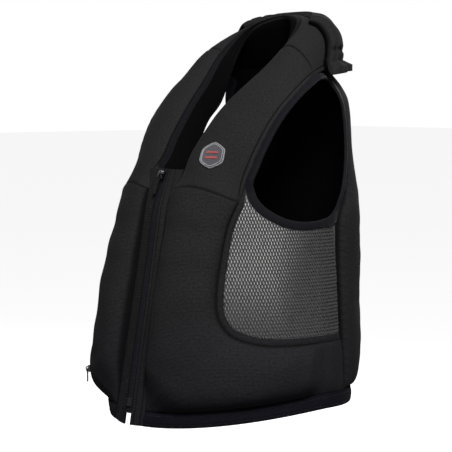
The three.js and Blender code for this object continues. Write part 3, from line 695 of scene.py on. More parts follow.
CLOTH = softshell("softshell_cloth", 0.019)
FACING = softshell("facing_cloth", 0.009, (0.95, 0.95, 1.25))
LINING = lining("black_mesh_lining", 0.0022)
HEM_CLOTH = softshell("hem_cloth", 0.0095, (0.95, 0.95, 1.3))
BINDING = tape("navy_binding_tape", 0.007, (0.95, 0.95, 1.4))
ZIP_TAPE = tape("zip_tape_cloth", 0.011, (0.92, 0.92, 1.45), 0.9)
THREAD = tape("sewing_thread", 0.021, (1, 1, 1.05), 0.5)
METAL = hard("lacquered_metal", (0.30, 0.30, 0.31), 1.0, 0.22)
PULL = hard("black_pull", (0.006, 0.006, 0.007), 0.0, 0.14)
BOX = hard("grey_plastic", (0.016, 0.016, 0.018), 0.0, 0.4)
COIL = hard("black_coil", (0.012, 0.012, 0.014), 0.0, 0.35)
NET = yarn("net_strands", 0.06)
# The net's back layer paints shadow low down and toward the rear through its seam mark.
NET_BACK = yarn("net_back_layer", 0.46, 0.86)

# Front panels

PANEL_COARSE = (76, 24)
PANEL_CAP = 5
PANEL_TOP_SHARE = 0.02
CHEST_ROW = 38
PANEL_SPAN = 110
CORNER_REACH = 58


def seam_flat(t):
    points = np.stack([girth_at(FRONT_PANEL["seam_deg"]), FRONT_PANEL["seam_z"]], -1)
    return even_curve(points, np.clip(np.ravel(t), 0, 1) * PANEL_ROWS).reshape(np.shape(t) + (2,))


def seam_point(t, offset):
    """Degrees and height along the net window's seam, moved square to it."""
    t = np.asarray(t, float)
    point = seam_flat(t)
    along = unit(seam_flat(np.minimum(t + 1e-4, 1)) - seam_flat(np.maximum(t - 1e-4, 0)))
    return degrees(point[..., 0] - along[..., 1] * offset), point[..., 1] + along[..., 0] * offset


def panel_spot(t, share):
    """Degrees, height and puff of a front panel; t runs from its chest seam round the net to its rear."""
    at = np.clip(t, 0, 1) * PANEL_ROWS
    i = np.minimum(np.floor(at).astype(int), PANEL_ROWS - 1)
    part = at - i
    edge_deg = lerp(FRONT_PANEL["edge_deg"][i], FRONT_PANEL["edge_deg"][i + 1], part)
    rows_z = FRONT_PANEL["edge_z"]
    rows_z = np.where(np.isnan(rows_z), hem_top(FRONT_PANEL["edge_deg"]) + SEAM_GAP, rows_z)
    on_hem = np.isnan(FRONT_PANEL["edge_z"][i])
    edge_z = np.where(on_hem, hem_top(edge_deg) + SEAM_GAP, lerp(rows_z[i], rows_z[i + 1], part))
    seam_deg, seam_z = seam_point(t, 0)
    puff = lerp(FRONT_PANEL["puff"][i], FRONT_PANEL["puff"][i + 1], smoothstep(part, 0, 1))
    rise = CHEST_SEAM_RISE * np.sin(math.pi * share**0.8) * np.maximum(0, 1 - at) ** 2
    return lerp(edge_deg, seam_deg, share), lerp(edge_z, seam_z, share) + rise, puff


def round_corner(from_zip, from_hem):
    """Share of the filling that is left toward the pad's lower front corner."""
    away = np.hypot(np.maximum(from_zip, 0), np.maximum(from_hem, 0))
    return lerp(0.2, 1, smoothstep(away, 0, CORNER_REACH))


def panel_form(t, share, side):
    """Degrees, heights, lift and both shares of a front panel, before its seams and folds."""
    t, share = np.broadcast_arrays(t[:, None], share[None, :])
    deg, z, puff = panel_spot(t, share)
    at = t * PANEL_ROWS
    on_hem = smoothstep(at, 4.0, 5.2) * (share < 0.5)
    flange = PAD_FLANGE[side] * (1 - smoothstep(at, 3.6, 5.0)) * smoothstep(at, 0, 0.5)
    padded = np.clip((share - flange) / (1 - flange), 0, 1)
    filled = pillow(padded, 2.6, lerp(0.42, 0.85, on_hem))
    corner = round_corner(girth_at(deg) - PLACKET_HALF, z - hem_top(deg) - SEAM_GAP)
    return deg, z, SEAM_EDGE + puff * filled * corner, t, share


def front_panel(side):
    rows = np.append(np.linspace(0, PANEL_TOP_SHARE, 16)[:-1], np.linspace(PANEL_TOP_SHARE, 1, 230))
    columns = edge_shares(64)
    moves = settled(lambda t, share: panel_form(t, share, side), PANEL_COARSE, rows, columns, PANEL_CAP)
    deg, z, lift, t, share = panel_form(rows, columns, side)
    girth = girth_at(deg)
    chest = t * PANEL_ROWS * CHEST_ROW
    edge = np.minimum(share, 1 - share) * PANEL_SPAN
    lift = lift - 1.5 * bell(chest, 2.2) * np.sqrt(pillow(share))
    outer = trunk(deg, z, lift)
    soft = pillow(share) * dents(outer, 11, (0.7, 80), (0.16, 26))
    pucker = 0.22 * np.sin(girth * 0.62 + z * 0.55 + 1.5 * ripple(outer, 60, 13)) * bell(edge - 3, 5)
    tuck = 0.15 * np.sin(girth * 0.8 + ripple(outer, 50, 14)) * bell(chest - 4, 4)
    outer = trunk(deg, z, lift + soft + pucker + tuck) + moves
    # Seam mark: painted shade along the sunk chest seam and the pad's edges.
    seam = np.maximum(bell(chest, 1.2), bell(edge, 1.6))
    name = "front_panel_" + side
    obj = piece(name + "_pad", "cloth", [name], outer, trunk(deg, z, 0), [CLOTH, LINING], side,
                uv=together(girth, z), seam=seam)


# Collar

COLLAR_COARSE = (9, 3)
COLLAR_HELD = 8
COLLAR_CAP = 4
COLLAR_FINE = 30
CROWN_COLUMN = 40


def panel_top():
    """The collar's first section, on the front panel's chest seam."""
    share = 0.5 - 0.5 * np.cos(math.pi * np.arange(SECTION) / ACROSS)
    deg, z, puff = panel_spot(np.zeros(SECTION), share)
    outside = trunk(deg, z, SEAM_EDGE + puff * pillow(share) * 0.88)
    return np.concatenate([outside, trunk(deg, z, 0)[::-1]])


def collar_point(i, kind):
    return np.array([COLLAR[f"{kind}_{axis}"][i] for axis in "xyz"])


def collar_middle(i):
    return (collar_point(i, "roll") + collar_point(i, "out")) / 2


def collar_row(i):
    """A section of the collar: its outside from the roll to the outer edge, and its inside back again."""
    roll, out = collar_point(i, "roll"), collar_point(i, "out")
    last = len(COLLAR["wall"]) - 1
    ahead = collar_middle(i - 1) * MIRROR if i == last else collar_middle(i + 1)
    behind = trunk(28, -135, 0) if i == 0 else collar_middle(i - 1)
    width = out - roll
    square = unit(np.cross(width, ahead - behind))
    wall, crown, belly = (COLLAR[name][i] for name in ("wall", "crown", "belly"))
    lap = unit(width) * SEAM_EDGE / 2
    across = COLLAR_SHAPE["across"][:, None]
    height = (COLLAR_SHAPE["wall"] * wall + COLLAR_SHAPE["crown"] * crown)[:, None]
    outside = roll + width * across + square * (height + across * SEAM_EDGE / 2)
    outside[0] -= lap + square * across[0] * SEAM_EDGE / 2
    share = np.linspace(0, 1, SECTION)[:, None]
    foot = roll - square * wall
    inside = lerp(foot, out, share) - square * (belly * pillow(share) + share * SEAM_EDGE / 2)
    inside[0] += lap
    return np.concatenate([outside, inside[::-1]])


half_collar = [panel_top()] + [collar_row(i) for i in range(len(COLLAR["wall"]))]
COLLAR_KEYS = np.array(half_collar + [ring * MIRROR for ring in half_collar[-2::-1]])


def collar_grid(stations, across):
    """Outer and inner points of the collar at stations, across counted from 0 to 8."""
    rings = tight_curve(COLLAR_KEYS, stations)
    return even_across(rings[:, :SECTION], across), even_across(rings[:, :ACROSS:-1], across)


def collar_piece(node, first, last, side):
    """A part of the collar between two stations."""
    name = node + "_pad"
    count = (last - first) * COLLAR_FINE + 1
    stations = np.linspace(first, last, count)
    across = np.concatenate([np.linspace(0, 2, 14)[:-1], np.linspace(2, 7.1, 42)[:-1],
                             np.linspace(7.1, ACROSS, 24)])
    per_station, per_point = COLLAR_COARSE
    rows, columns = (last - first) * per_station + 1, ACROSS * per_point + 1
    hold = border(rows, columns)
    hold[:, :COLLAR_HELD] = True
    coarse = collar_grid(np.linspace(first, last, rows), np.linspace(0, ACROSS, columns))
    moves = settle(*coarse, hold, COLLAR_CAP)
    moves = refine(moves, (stations - first) / (last - first) * (rows - 1), across * per_point)
    outer, inner = collar_grid(stations, across)
    square = normals(outer, inner)
    length = run_of(outer[:, CROWN_COLUMN])[:, None]
    girth = run_of(outer[count // 2])[None, :]
    ends = np.minimum(length, length[-1] - length)
    out_edge = girth[0, -1] - girth
    turned = smoothstep(np.minimum(stations, 2 * NAPE_MIDDLE - stations), 0.4, 0.9)[:, None]
    facing_line = across - COLLAR_FACING_SEAM
    body = smoothstep(across, 2.0, 3.0)[None, :] * smoothstep(out_edge, 4, 16)
    lift = body * dents(outer, 21, (0.6, 80), (0.14, 24))
    lift = lift - 1.5 * bell(ends, 2.2) * smoothstep(across, 1.6, 3.2)[None, :] * smoothstep(out_edge, 0, 12)
    lift = lift - 1.0 * bell(out_edge - COLLAR_EDGE_SEAM, 1.0)
    lift = lift - 0.8 * bell(facing_line, 0.1)[None, :] * turned
    lift = lift + 0.15 * np.sin(girth * 0.75 + ripple(outer, 40, 23)) * bell(ends - 4, 4) * body
    outer = outer + square * lift[..., None] + moves
    # Seam mark: painted shade along the sunk edge seam, the facing line and the piece's ends.
    lines = np.maximum(bell(out_edge - COLLAR_EDGE_SEAM, 0.8), bell(facing_line, 0.06)[None, :] * turned)
    seam = np.maximum(bell(ends, 1.2) * body, lines)
    facing = np.where(across < 1.6 * turned, 1, np.where(across < 2.15 * turned, 2, 0))
    obj = piece(name, "cloth", [node], outer, inner, [CLOTH, LINING, FACING], side,
                uv=together(girth, length), seam=seam, facing=facing)


def nape_cover():
    """Cover over the nape, with its folds, and the flap at its lower edge."""
    q = np.linspace(-1, 1, 150)[:, None]
    v = np.linspace(0, 1, 60)[None, :]
    low = np.minimum(v / NAPE_FLAP_FROM, 1)
    flap = np.maximum(0, (v - NAPE_FLAP_FROM) / (1 - NAPE_FLAP_FROM))
    station = NAPE_MIDDLE + q * (NAPE_COVER_HALF + NAPE_COVER_SLANT * low**2)
    across = np.broadcast_to(ACROSS * lerp(0.4, 0.9, low), station.shape)
    stations = np.linspace(NAPE_MIDDLE - 1.6, NAPE_MIDDLE + 1.6, 240)
    columns = np.linspace(2.6, ACROSS, 70)
    base, inside = collar_grid(stations, columns)

    def pick(grid):
        r, c = (np.clip((value - line[0]) / (line[1] - line[0]), 0, len(line) - 1.001)
                for value, line in ((station, stations), (across, columns)))
        i, j = r.astype(int), c.astype(int)
        a, b = (r - i)[..., None], (c - j)[..., None]
        return lerp(lerp(grid[i, j], grid[i + 1, j], a), lerp(grid[i, j + 1], grid[i + 1, j + 1], a), b)

    point, way = pick(base), unit(pick(normals(base, inside)))
    ends = np.maximum(0, 1 - np.abs(q) ** 6) ** 0.5
    fold = np.zeros(station.shape)
    for at, width, depth, lean in zip(*NAPE_FOLDS.values()):
        fold = fold + depth * bell(np.abs(q) - at - lean * (low - 0.4), width)
    cross = 0.4 * bell(low - 0.96 + 0.2 * np.abs(q), 0.04) * smoothstep(np.abs(q), 0.5, 0.75)
    fold = np.minimum(fold + cross, 0.7)
    pad = NAPE_EDGE + NAPE_PUFF * np.sin(math.pi * lerp(0.08, 0.72, low)) * ends * (1 - fold)
    pad = pad + 0.7 * ripple(point, 30, 31) * ends * smoothstep(low, 0, 0.2)
    reach = NAPE_FLAP * (0.25 + 0.75 * ends)
    wave = 1.4 * np.sin(q * 9 + 0.6) * flap
    fall = lerp(*NAPE_FLAP_DROP, smoothstep(np.abs(q), 0.6, 0.95)) * flap + wave
    down = np.array([0, 0, -1.0])
    outer = point + way * (NAPE_GAP + pad + reach * flap)[..., None] + down * fall[..., None]
    under = lerp(NAPE_GAP, NAPE_GAP + pad + reach, flap)
    inner = point + way * under[..., None] + down * (fall + NAPE_FLAP_WALL * flap)[..., None]
    # Seam mark: painted shade in the folds and along the cover's side edges.
    rim = bell(np.abs(q) - 1, 0.02) * (1 - flap)
    seam = np.maximum(np.clip(fold, 0, 1) * 0.8, rim)
    obj = piece("nape_cover_pad", "cloth", ["nape_cover"], outer, inner, [CLOTH, LINING], seam=seam, ends=1)


# Back panel

BACK_COARSE = (66, 61)
BACK_CAP = 4
BACK_RADIUS = 135
BACK_SPAN = 300


def back_form(rise, share):
    """Degrees, heights, lift and fill of the back panel, before its seams and folds."""
    rise, share = np.broadcast_arrays(rise[:, None], share[None, :])
    level = lerp(hem_top(REAR_SEAM_DEG) + SEAM_GAP, BACK_TOP_Z, rise)
    side = rear_at(level, "deg") - LAP / 2
    deg = lerp(side, 360 - side, share)
    z = level + (hem_top(deg) - hem_top(REAR_SEAM_DEG)) * (1 - rise)
    under_collar = np.interp(np.abs(deg - SPINE_DEG), *BACK_UNDER_COLLAR.values())
    z = z + under_collar * smoothstep(level, -40, BACK_TOP_Z)
    swell = BACK_PUFF * np.maximum(0, 1 - np.abs(2 * rise - 1) ** 8) ** 0.5
    upper = smoothstep(level, -160, -80)
    fill = pillow(share, lerp(4, 2, upper), lerp(0.55, 1.1, upper))
    groove = SPINE_GROOVE * bell(deg - SPINE_DEG, 7) * swell / BACK_PUFF
    return deg, z, SEAM_EDGE + swell * fill - groove, fill


def back_panel():
    rise, share = np.linspace(0, 1, 150), edge_shares(120)
    moves = settled(back_form, BACK_COARSE, rise, share, BACK_CAP, spine=True)
    deg, z, lift, fill = back_form(rise, share)
    outer = trunk(deg, z, lift)
    edge = np.minimum(share, 1 - share)[None, :] * BACK_SPAN
    soft = fill * dents(outer, 41, (1.0, 80), (0.35, 28))
    pucker = 0.4 * np.sin(z * 0.55 + ripple(outer, 60, 43)) * bell(edge - 4, 6)
    spine = 0.5 * np.sin(z * 0.5) * bell(np.abs(deg - SPINE_DEG) - 3, 2)
    outer = trunk(deg, z, lift + soft + pucker + spine) + moves
    # Seam mark: painted shade along the spine and the panel's edges.
    seam = np.maximum(bell(deg - SPINE_DEG, 1.0), bell(edge, 2.5))
    obj = piece("back_panel_pad", "cloth", ["back_panel"], outer, trunk(deg, z, 0), [CLOTH, LINING],
                uv=together(deg * DEG * BACK_RADIUS, z), seam=seam)


# Net windows and their trim

TRIM_ROWS = 170
TRIM_TIP_ROWS = 14
TRIM_CROWN = 1.2


def trim_lines(count):
    """Both edges of the trim, from its tip beside the collar down and round the net."""
    t = np.linspace(0, 1, count)
    deg, z = seam_point(t, -LAP)
    far_deg, far_z = seam_point(t, SEAM_GAP + TRIM_WIDTH)
    up = np.linspace(1, 0, TRIM_TIP_ROWS, endpoint=False)
    tip_deg, tip_z = TRIM_TIP
    lift_deg = lerp(deg[0], tip_deg, up)
    lift_z = lerp(z[0], tip_z, up)
    wide_deg = lift_deg + (far_deg[0] - deg[0]) * (1 - up) ** 0.8
    wide_z = lift_z + (far_z[0] - z[0]) * (1 - up) - 1.5 * up
    near = np.stack([np.append(lift_deg, deg), np.append(lift_z, z)], -1)
    far = np.stack([np.append(wide_deg, far_deg), np.append(wide_z, far_z)], -1)
    return near, far


def side_trim(side):
    near, far = trim_lines(TRIM_ROWS)
    share = np.linspace(0, 1, 9)[None, :]
    deg, z = np.moveaxis(lerp(near[:, None], far[:, None], share[..., None]), -1, 0)
    lift = SHELL + TRIM_CROWN * pillow(share)
    for line in TRIM_SEAMS:
        lift = lift - 0.5 * bell(share - line, 0.07)
    lift = lift + 0.15 * np.sin(np.arange(len(near)) * 1.1)[:, None]
    # Seam mark: painted shade along both edges of the trim.
    seam = np.maximum(bell(share, 0.1), 0.6 * bell(share - 1, 0.08))
    piece("trim_band_" + side, "binding", ["side_trim_" + side], trunk(deg, z, lift), trunk(deg, z, 0),
          [CLOTH, LINING], side, uv=together(girth_at(deg), z), seam=seam)


def net_outline():
    """Outline of the net in the flat pattern, from its tip round the trim and back over the roof."""
    _, far = trim_lines(120)
    roof_deg = np.linspace(REAR_SEAM_DEG, NET_TIP_DEG, 60)
    roof = np.stack([roof_deg, floor_at(roof_deg, "z") - SEAM_GAP], -1)
    loop = np.concatenate([far, roof])
    loop[:, 0] *= DEG * PATTERN_RADIUS
    return loop


def inside_loop(points, loop):
    a, b = loop, np.roll(loop, -1, 0)
    x, y = points[:, None, 0], points[:, None, 1]
    crosses = (a[:, 1] > y) != (b[:, 1] > y)
    reach = (b[:, 0] - a[:, 0]) * (y - a[:, 1]) / (b[:, 1] - a[:, 1] + 1e-12) + a[:, 0]
    return (crosses & (x < reach)).sum(1) % 2 == 1


def onto_loop(points, loop):
    """Nearest places on the outline."""
    way = np.roll(loop, -1, 0) - loop
    part = ((points[:, None] - loop) * way).sum(-1) / np.maximum((way**2).sum(-1), 1e-9)
    near = loop + way * np.clip(part, 0, 1)[..., None]
    best = ((near - points[:, None]) ** 2).sum(-1).argmin(1)
    return near[np.arange(len(points)), best]


def six_corners(straight, tip):
    """Corners of a tall six-sided cell, one wide."""
    right = [(0.5, -straight), (0.5, straight), (0, tip)]
    return np.array(right + [(-x, -y) for x, y in right])


def net_panel(side):
    """Strands of the net with their long holes, over a pale back layer."""
    loop = net_outline()
    low, high = loop.min(0) - NET_PITCH, loop.max(0) + NET_PITCH
    columns = np.arange(low[0], high[0], NET_PITCH)
    rows = np.arange(low[1], high[1], NET_ROW)
    centres = np.array([(x + (j % 2) * NET_PITCH / 2, y) for j, y in enumerate(rows) for x in columns])
    centres[:, 0] -= (centres[:, 1] - low[1]) * NET_LEAN
    scale = np.array([NET_PITCH, NET_ROW * 4 / 3])
    rim = centres[:, None] + six_corners(0.25, 0.75) * scale
    hole = centres[:, None] + six_corners(0.45, 0.62) * scale * NET_HOLE
    flat = np.concatenate([rim, hole], 1).reshape(-1, 2)
    keep = inside_loop(flat, loop)
    flat[~keep] = onto_loop(flat[~keep], loop)
    lift = np.tile(np.repeat([NET_WALL, NET_WALL - 0.55], 6), len(centres))
    points = trunk(degrees(flat[:, 0]), flat[:, 1], lift)
    corner = np.arange(6)
    after = (corner + 1) % 6
    strand = np.stack([corner, after, 6 + after, 6 + corner], -1)
    used = np.flatnonzero(keep.reshape(-1, 12).any(1))
    faces = (used[:, None, None] * 12 + strand).reshape(-1, 4)
    p = flat[faces]
    (ax, ay), (bx, by) = (p[:, 2] - p[:, 0]).T, (p[:, 3] - p[:, 1]).T
    faces = faces[0.5 * np.abs(ax * by - ay * bx) > 0.05]
    faces = faces if side == "left" else faces[:, ::-1]
    obj = mesh_object("net_" + side, handed(points, side), faces.tolist(), [NET], uv=flat)
    join_points(obj.data, 0.00012)
    thick = obj.modifiers.new("strand", "SOLIDIFY")
    thick.thickness = 1.1 * MM
    thick.offset = -1
    belongs(obj, "net", "side_mesh_" + side)
    back = net_back(side, loop)


def join_points(mesh, distance):
    """Joins points that lie together, and drops what that leaves empty or loose."""
    work = bmesh.new()
    work.from_mesh(mesh)
    bmesh.ops.remove_doubles(work, verts=work.verts, dist=distance)
    bmesh.ops.dissolve_degenerate(work, edges=work.edges, dist=distance / 2)
    loose = [v for v in work.verts if not v.link_faces]
    bmesh.ops.delete(work, geom=loose, context="VERTS")
    work.to_mesh(mesh)
    work.free()
    mesh.polygons.foreach_set("use_smooth", np.ones(len(mesh.polygons), bool))


def net_back(side, loop):
    """Pale inner layer of the net, with painted shadow low down and toward the rear and painted shade at its
    rear seam.
    """
    columns = np.linspace(loop[:, 0].min() + 0.4, loop[:, 0].max() - 0.4, 90)
    a, b = loop, np.roll(loop, -1, 0)
    ends = []
    for girth in columns:
        cut = (a[:, 0] > girth) != (b[:, 0] > girth)
        part = (girth - a[cut, 0]) / (b[cut, 0] - a[cut, 0])
        z = lerp(a[cut, 1], b[cut, 1], part)
        ends.append((z.min(), z.max()))
    low, high = np.array(ends).T
    z = lerp(low, high, np.linspace(0, 1, 60)[:, None])
    deg = degrees(columns)
    inner, outer = (trunk(deg, z, lift) for lift in NET_BACK_LIFT)
    # Painted shadow low down and toward the rear, and painted shade at the rear seam, through the seam mark.
    dull = np.maximum(smoothstep(-z, 205, 315), smoothstep(deg + (-z - 240) * 0.12, 56, 80))
    dull = np.maximum(dull, bell(columns - columns[-1], 2.0))
    return piece("net_back_" + side, "net", [], outer, inner, [NET_BACK, LINING], side,
                 uv=together(columns, z), seam=dull)


# Armhole bindings

BIND_ROWS = 260
BIND_FLOOR_DEG = np.array([103, 94, 85, 77, 70, 63, 57, 52.5, 49.8])
BIND_CORNERS = ((slice(9, 11), 10), (slice(16, 18), 4))


def binding_lines():
    """Points along the armhole's edge, by collar, back and net, and the directions into the armhole."""
    rings = tight_curve(COLLAR_KEYS, np.arange(0.95, NAPE_SEAM + 0.01, 0.45))
    edge = (rings[:, 8] + rings[:, 9]) / 2
    inner = (rings[:, 6] + rings[:, 11]) / 2
    keys, ways = [edge], [unit(edge - inner)]
    z = np.arange(8, -151, -24.0)
    deg = rear_at(z, "deg")
    keys.append(trunk(deg, z, SEAM_EDGE / 2))
    ways.append(unit(trunk(deg - 2, z, SEAM_EDGE / 2) - keys[-1]))
    deg = BIND_FLOOR_DEG
    z = floor_at(deg, "z")
    slope = (floor_at(deg + 0.5, "z") - floor_at(deg - 0.5, "z")) / (DEG * PATTERN_RADIUS)
    keys.append(trunk(deg, z, NET_WALL / 2))
    ways.append(unit(trunk(deg - degrees(slope), z + 1, NET_WALL / 2) - keys[-1]))
    return np.concatenate(keys), np.concatenate(ways)


def armhole_binding(side):
    """Folded tape round the armhole, wider where it covers the corners between collar, back and net."""
    keys, ways = binding_lines()
    at = np.arange(BIND_ROWS) / BIND_ROWS * len(keys)
    lap = np.full((len(keys), 1), LAP)
    for corner, more in BIND_CORNERS:
        lap[corner] += more
    near = tight_curve(keys - ways * lap, at, loop=True)
    far = tight_curve(keys + ways * (1.5 * SEAM_GAP + BIND_WIDTH), at, loop=True)
    along = unit(np.roll(near, -1, 0) - np.roll(near, 1, 0))
    square = unit(np.cross(far - near, along))[:, None]
    share = np.linspace(0, 1, 11)[None, :]
    thick = BIND_WALL * 0.5 * (0.5 + 0.5 * pillow(share, 4, 0.6) - 0.16 * bell(share - 0.2, 0.06))
    middle = lerp(near[:, None], far[:, None], share[..., None])
    wave = 0.12 * np.sin(np.arange(BIND_ROWS) * 0.9)[:, None]
    outer = middle + square * (thick + wave)[..., None]
    inner = middle - square * thick[..., None]
    piece("binding_" + side, "binding", ["armhole_binding_" + side], outer, inner, [BINDING, BINDING], side,
          loop=True, uv=together(share * BIND_WIDTH, run_of(near)[:, None]))


# Hem band and zip

HEM_CROWN = 1.6
HEM_RADIUS = 165
ZIP_ROWS = 150
ZIP_COLUMNS = 36
TOOTH_PITCH = 1.6


def hem_drawn(deg, share):
    """How far the hem is drawn in at the right front."""
    return HEM_DRAWN_IN * bell(deg - 322, 17) * (0.2 + 0.8 * share)


def hem_band():
    start = degrees(PLACKET_HALF + SEAM_GAP)
    deg = np.linspace(start, 360 - start, 520)[:, None]
    share = edge_shares(17)[None, :]
    z = lerp(hem_top(deg) + LAP, hem_bottom(deg), share)
    pinch = bell(deg - 17, 5) + 0.5 * bell(deg - 343, 5)
    high, low = HEM_SEAMS
    lift = HEM_WALL + HEM_CROWN * pillow(share)
    lift = lift - 0.55 * bell(share - high, 0.05) - 0.5 * bell(share - low, 0.05)
    lift = lift - 2.4 * pinch * bell(share - 0.08, 0.12)
    lift = lift - hem_drawn(deg, share)
    base = trunk(deg, z, lift)
    lift = lift + 0.3 * ripple(base, 22, 51) * pillow(share)
    lift = lift + 0.35 * np.sin(deg * 3.1 + ripple(base, 50, 52)) * (1 - share)
    outer = trunk(deg, z, lift)
    inner = trunk(deg, z, lift - HEM_WALL)
    # Seam mark: painted shade along the top edge and the lower stitched groove.
    seam = np.maximum(bell(share, 0.06), 0.5 * bell(share - low, 0.04))
    obj = piece("hem_band_cloth", "cloth", ["hem_band"], outer, inner, [HEM_CLOTH, LINING],
                uv=together(deg * DEG * HEM_RADIUS, z), seam=seam)
    length = steps(outer[:, 8]).sum() * MM


def keel(girth, z):
    """How far the zip stands out from the trunk, less at its top and away from the middle."""
    fade = lerp(0.15, 1, smoothstep(-z, -ZIP_TOP, -ZIP_TOP + KEEL_FADE))
    return ZIP_KEEL * fade * (1 - np.abs(girth) / PLACKET_HALF)


def narrow_sheet(outer):
    """Works out a sewn strip's length along the middle of its outer side, and does not use it."""
    length = steps(outer[:, outer.shape[1] // 2]).sum() * MM


def zip_strip(node, first, last, low, high, material, slot, bottom=None, grooves=()):
    """An upright strip beside the zip between two girths, and between two heights over the trunk."""
    side = node.rsplit("_", 1)[1]
    share = np.linspace(0, 1, ZIP_COLUMNS)[None, :]
    wide = np.linspace(first, last, ZIP_COLUMNS)[None, :]
    end = hem_bottom(degrees(wide)) if bottom is None else np.full(wide.shape, bottom)
    z = lerp(ZIP_TOP, end, np.linspace(0, 1, ZIP_ROWS)[:, None])
    spread = smoothstep(z, PLACKET_SPREAD_Z, ZIP_TOP) * (PLACKET_TOP_HALF / PLACKET_HALF - 1)
    girth = wide * (1 + spread * (np.abs(wide) / PLACKET_HALF) ** 2)
    deg, stand = degrees(girth), keel(wide, z)
    lift = stand + high + 0.25 * pillow(share, 6)
    # Seam mark: painted shade along the strip's edges and stitched grooves.
    seam = np.maximum(bell(share, 0.05), 0.7 * bell(share - 1, 0.05))
    for at in grooves:
        lift = lift - 0.7 * bell(girth - at, 0.9)
        seam = np.maximum(seam, bell(girth - at, 0.8))
    base = trunk(deg, z, lift)
    lift = lift + 0.18 * ripple(base, 18, 61) * pillow(share) + 0.12 * np.sin(z * 0.7) * pillow(share)
    outer = trunk(deg, z, lift)
    inner = trunk(deg, z, stand + low)
    obj = piece(node + "_cloth", slot, [node], outer, inner, [material, LINING], side,
                uv=together(girth, z), seam=seam)
    if slot == "cloth":
        narrow_sheet(outer)


def zip_coil():
    """Two rows of small hooked teeth on the inner side."""
    tooth = np.array([(x, y, h) for x in (-0.6, 2.9) for y in (-0.75, 0.75) for h in (-0.55, 0.55)])
    tooth[4:, 1] *= 0.6
    points, faces = [], []
    for i, height in enumerate(np.arange(ZIP_TOP - 3, ZIP_END + 2, -TOOTH_PITCH)):
        side = 1 if i % 2 else -1
        points.append(trunk(0, height, keel(0, height) - 3.5) + tooth * (side, 1, 1))
        faces += (BOX_FACES[:, ::side] + i * len(tooth)).tolist()
    obj = mesh_object("zip_teeth", np.concatenate(points), faces, [COIL])
    bevel = obj.modifiers.new("soft", "BEVEL")
    bevel.width = 0.25 * MM
    bevel.segments = 1
    belongs(obj, "coil", "zip_coil")


# Stitches

STITCH_PITCH = 3.6
STITCH_SIZE = np.array([2.5, 0.55, 0.4])
STITCH = np.array([(x, y, z) for x in (-1, 1) for y in (-1, 1) for z in (-1, 1)]) * STITCH_SIZE / 2


def stitches(name, lines):
    """Threads sewn along lines of points; each line comes with the directions square to the cloth."""
    points, faces, count = [], [], 0
    for line, square in lines:
        run = run_of(line)
        at = np.arange(STITCH_PITCH, run[-1] - STITCH_PITCH, STITCH_PITCH)
        place, ahead, up = (np.stack([np.interp(spot, run, values[:, k]) for k in range(3)], -1)
                            for spot, values in ((at, line), (at + 0.5, line), (at, square)))
        up, along = unit(up), unit(ahead - place)
        ways = (along, np.cross(up, along), up)
        block = place[:, None] + sum(STITCH[:, k, None] * way[:, None] for k, way in enumerate(ways))
        points.append(block.reshape(-1, 3))
        first = count + np.arange(len(at)) * len(STITCH)
        faces += (first[:, None, None] + BOX_FACES).reshape(-1, 4).tolist()
        count += len(points[-1])
    obj = mesh_object(name, np.concatenate(points), faces, [THREAD])
    belongs(obj, "cloth")


def strip_line(deg, z, lift, side="left"):
    line = trunk(deg, z, lift)
    square = trunk(deg, z, np.asarray(lift) + 1) - line
    return handed(line, side), handed(square, side)


def sew():
    near, far = trim_lines(TRIM_ROWS)
    trims = []
    for side in ("left", "right"):
        for share in TRIM_SEAMS:
            deg, z = lerp(near, far, share)[TRIM_TIP_ROWS + 2:].T
            trims.append(strip_line(deg, z, SHELL + TRIM_CROWN * pillow(share) - 0.2, side))
    stitches("trim_stitching", trims)
    start = degrees(PLACKET_HALF + SEAM_GAP) + 0.6
    deg = np.linspace(start, 360 - start, 500)
    hems = []
    for share in HEM_SEAMS:
        z = lerp(hem_top(deg), hem_bottom(deg), share)
        hems.append(strip_line(deg, z, HEM_WALL + HEM_CROWN * pillow(share) - 0.1 - hem_drawn(deg, share)))
    stitches("hem_stitching", hems)
    z = np.linspace(ZIP_TOP - 1, TAPE_END + 1, 160)
    plackets = []
    for side, girths in (("left", PLACKET_SEAMS), ("right", GUARD_SEAMS)):
        for girth in girths:
            plackets.append(strip_line(degrees(girth), z, keel(girth, z) + SHELL + 0.1, side))
    stitches("placket_stitching", plackets)


# Patch and pocket zip

PATCH_TOP = 1.9
PATCH_UNDER = 0.5
PATCH_AROUND = 120
PATCH_PROFILE = table(
    "reach lift slot",
    (0.10, PATCH_TOP, 0), (0.3, PATCH_TOP, 0), (0.5, PATCH_TOP, 0), (0.7, 1.85, 0), (0.80, 1.8, 0),
    (0.815, 2.5, 1), (0.85, 2.75, 1), (0.885, 2.5, 1),
    (0.9, 1.9, 2), (0.93, 1.9, 2),
    (0.945, 2.3, 3), (0.97, 2.4, 3), (1.0, 1.7, 3), (1.0, PATCH_UNDER, 3),
    (0.6, PATCH_UNDER, 2), (0.1, PATCH_UNDER, 2),
)
BAR_OFFSET = 3.6
BAR_HALF = 8.2
BAR_RISE = 1.7
BAR_POINTS = 24


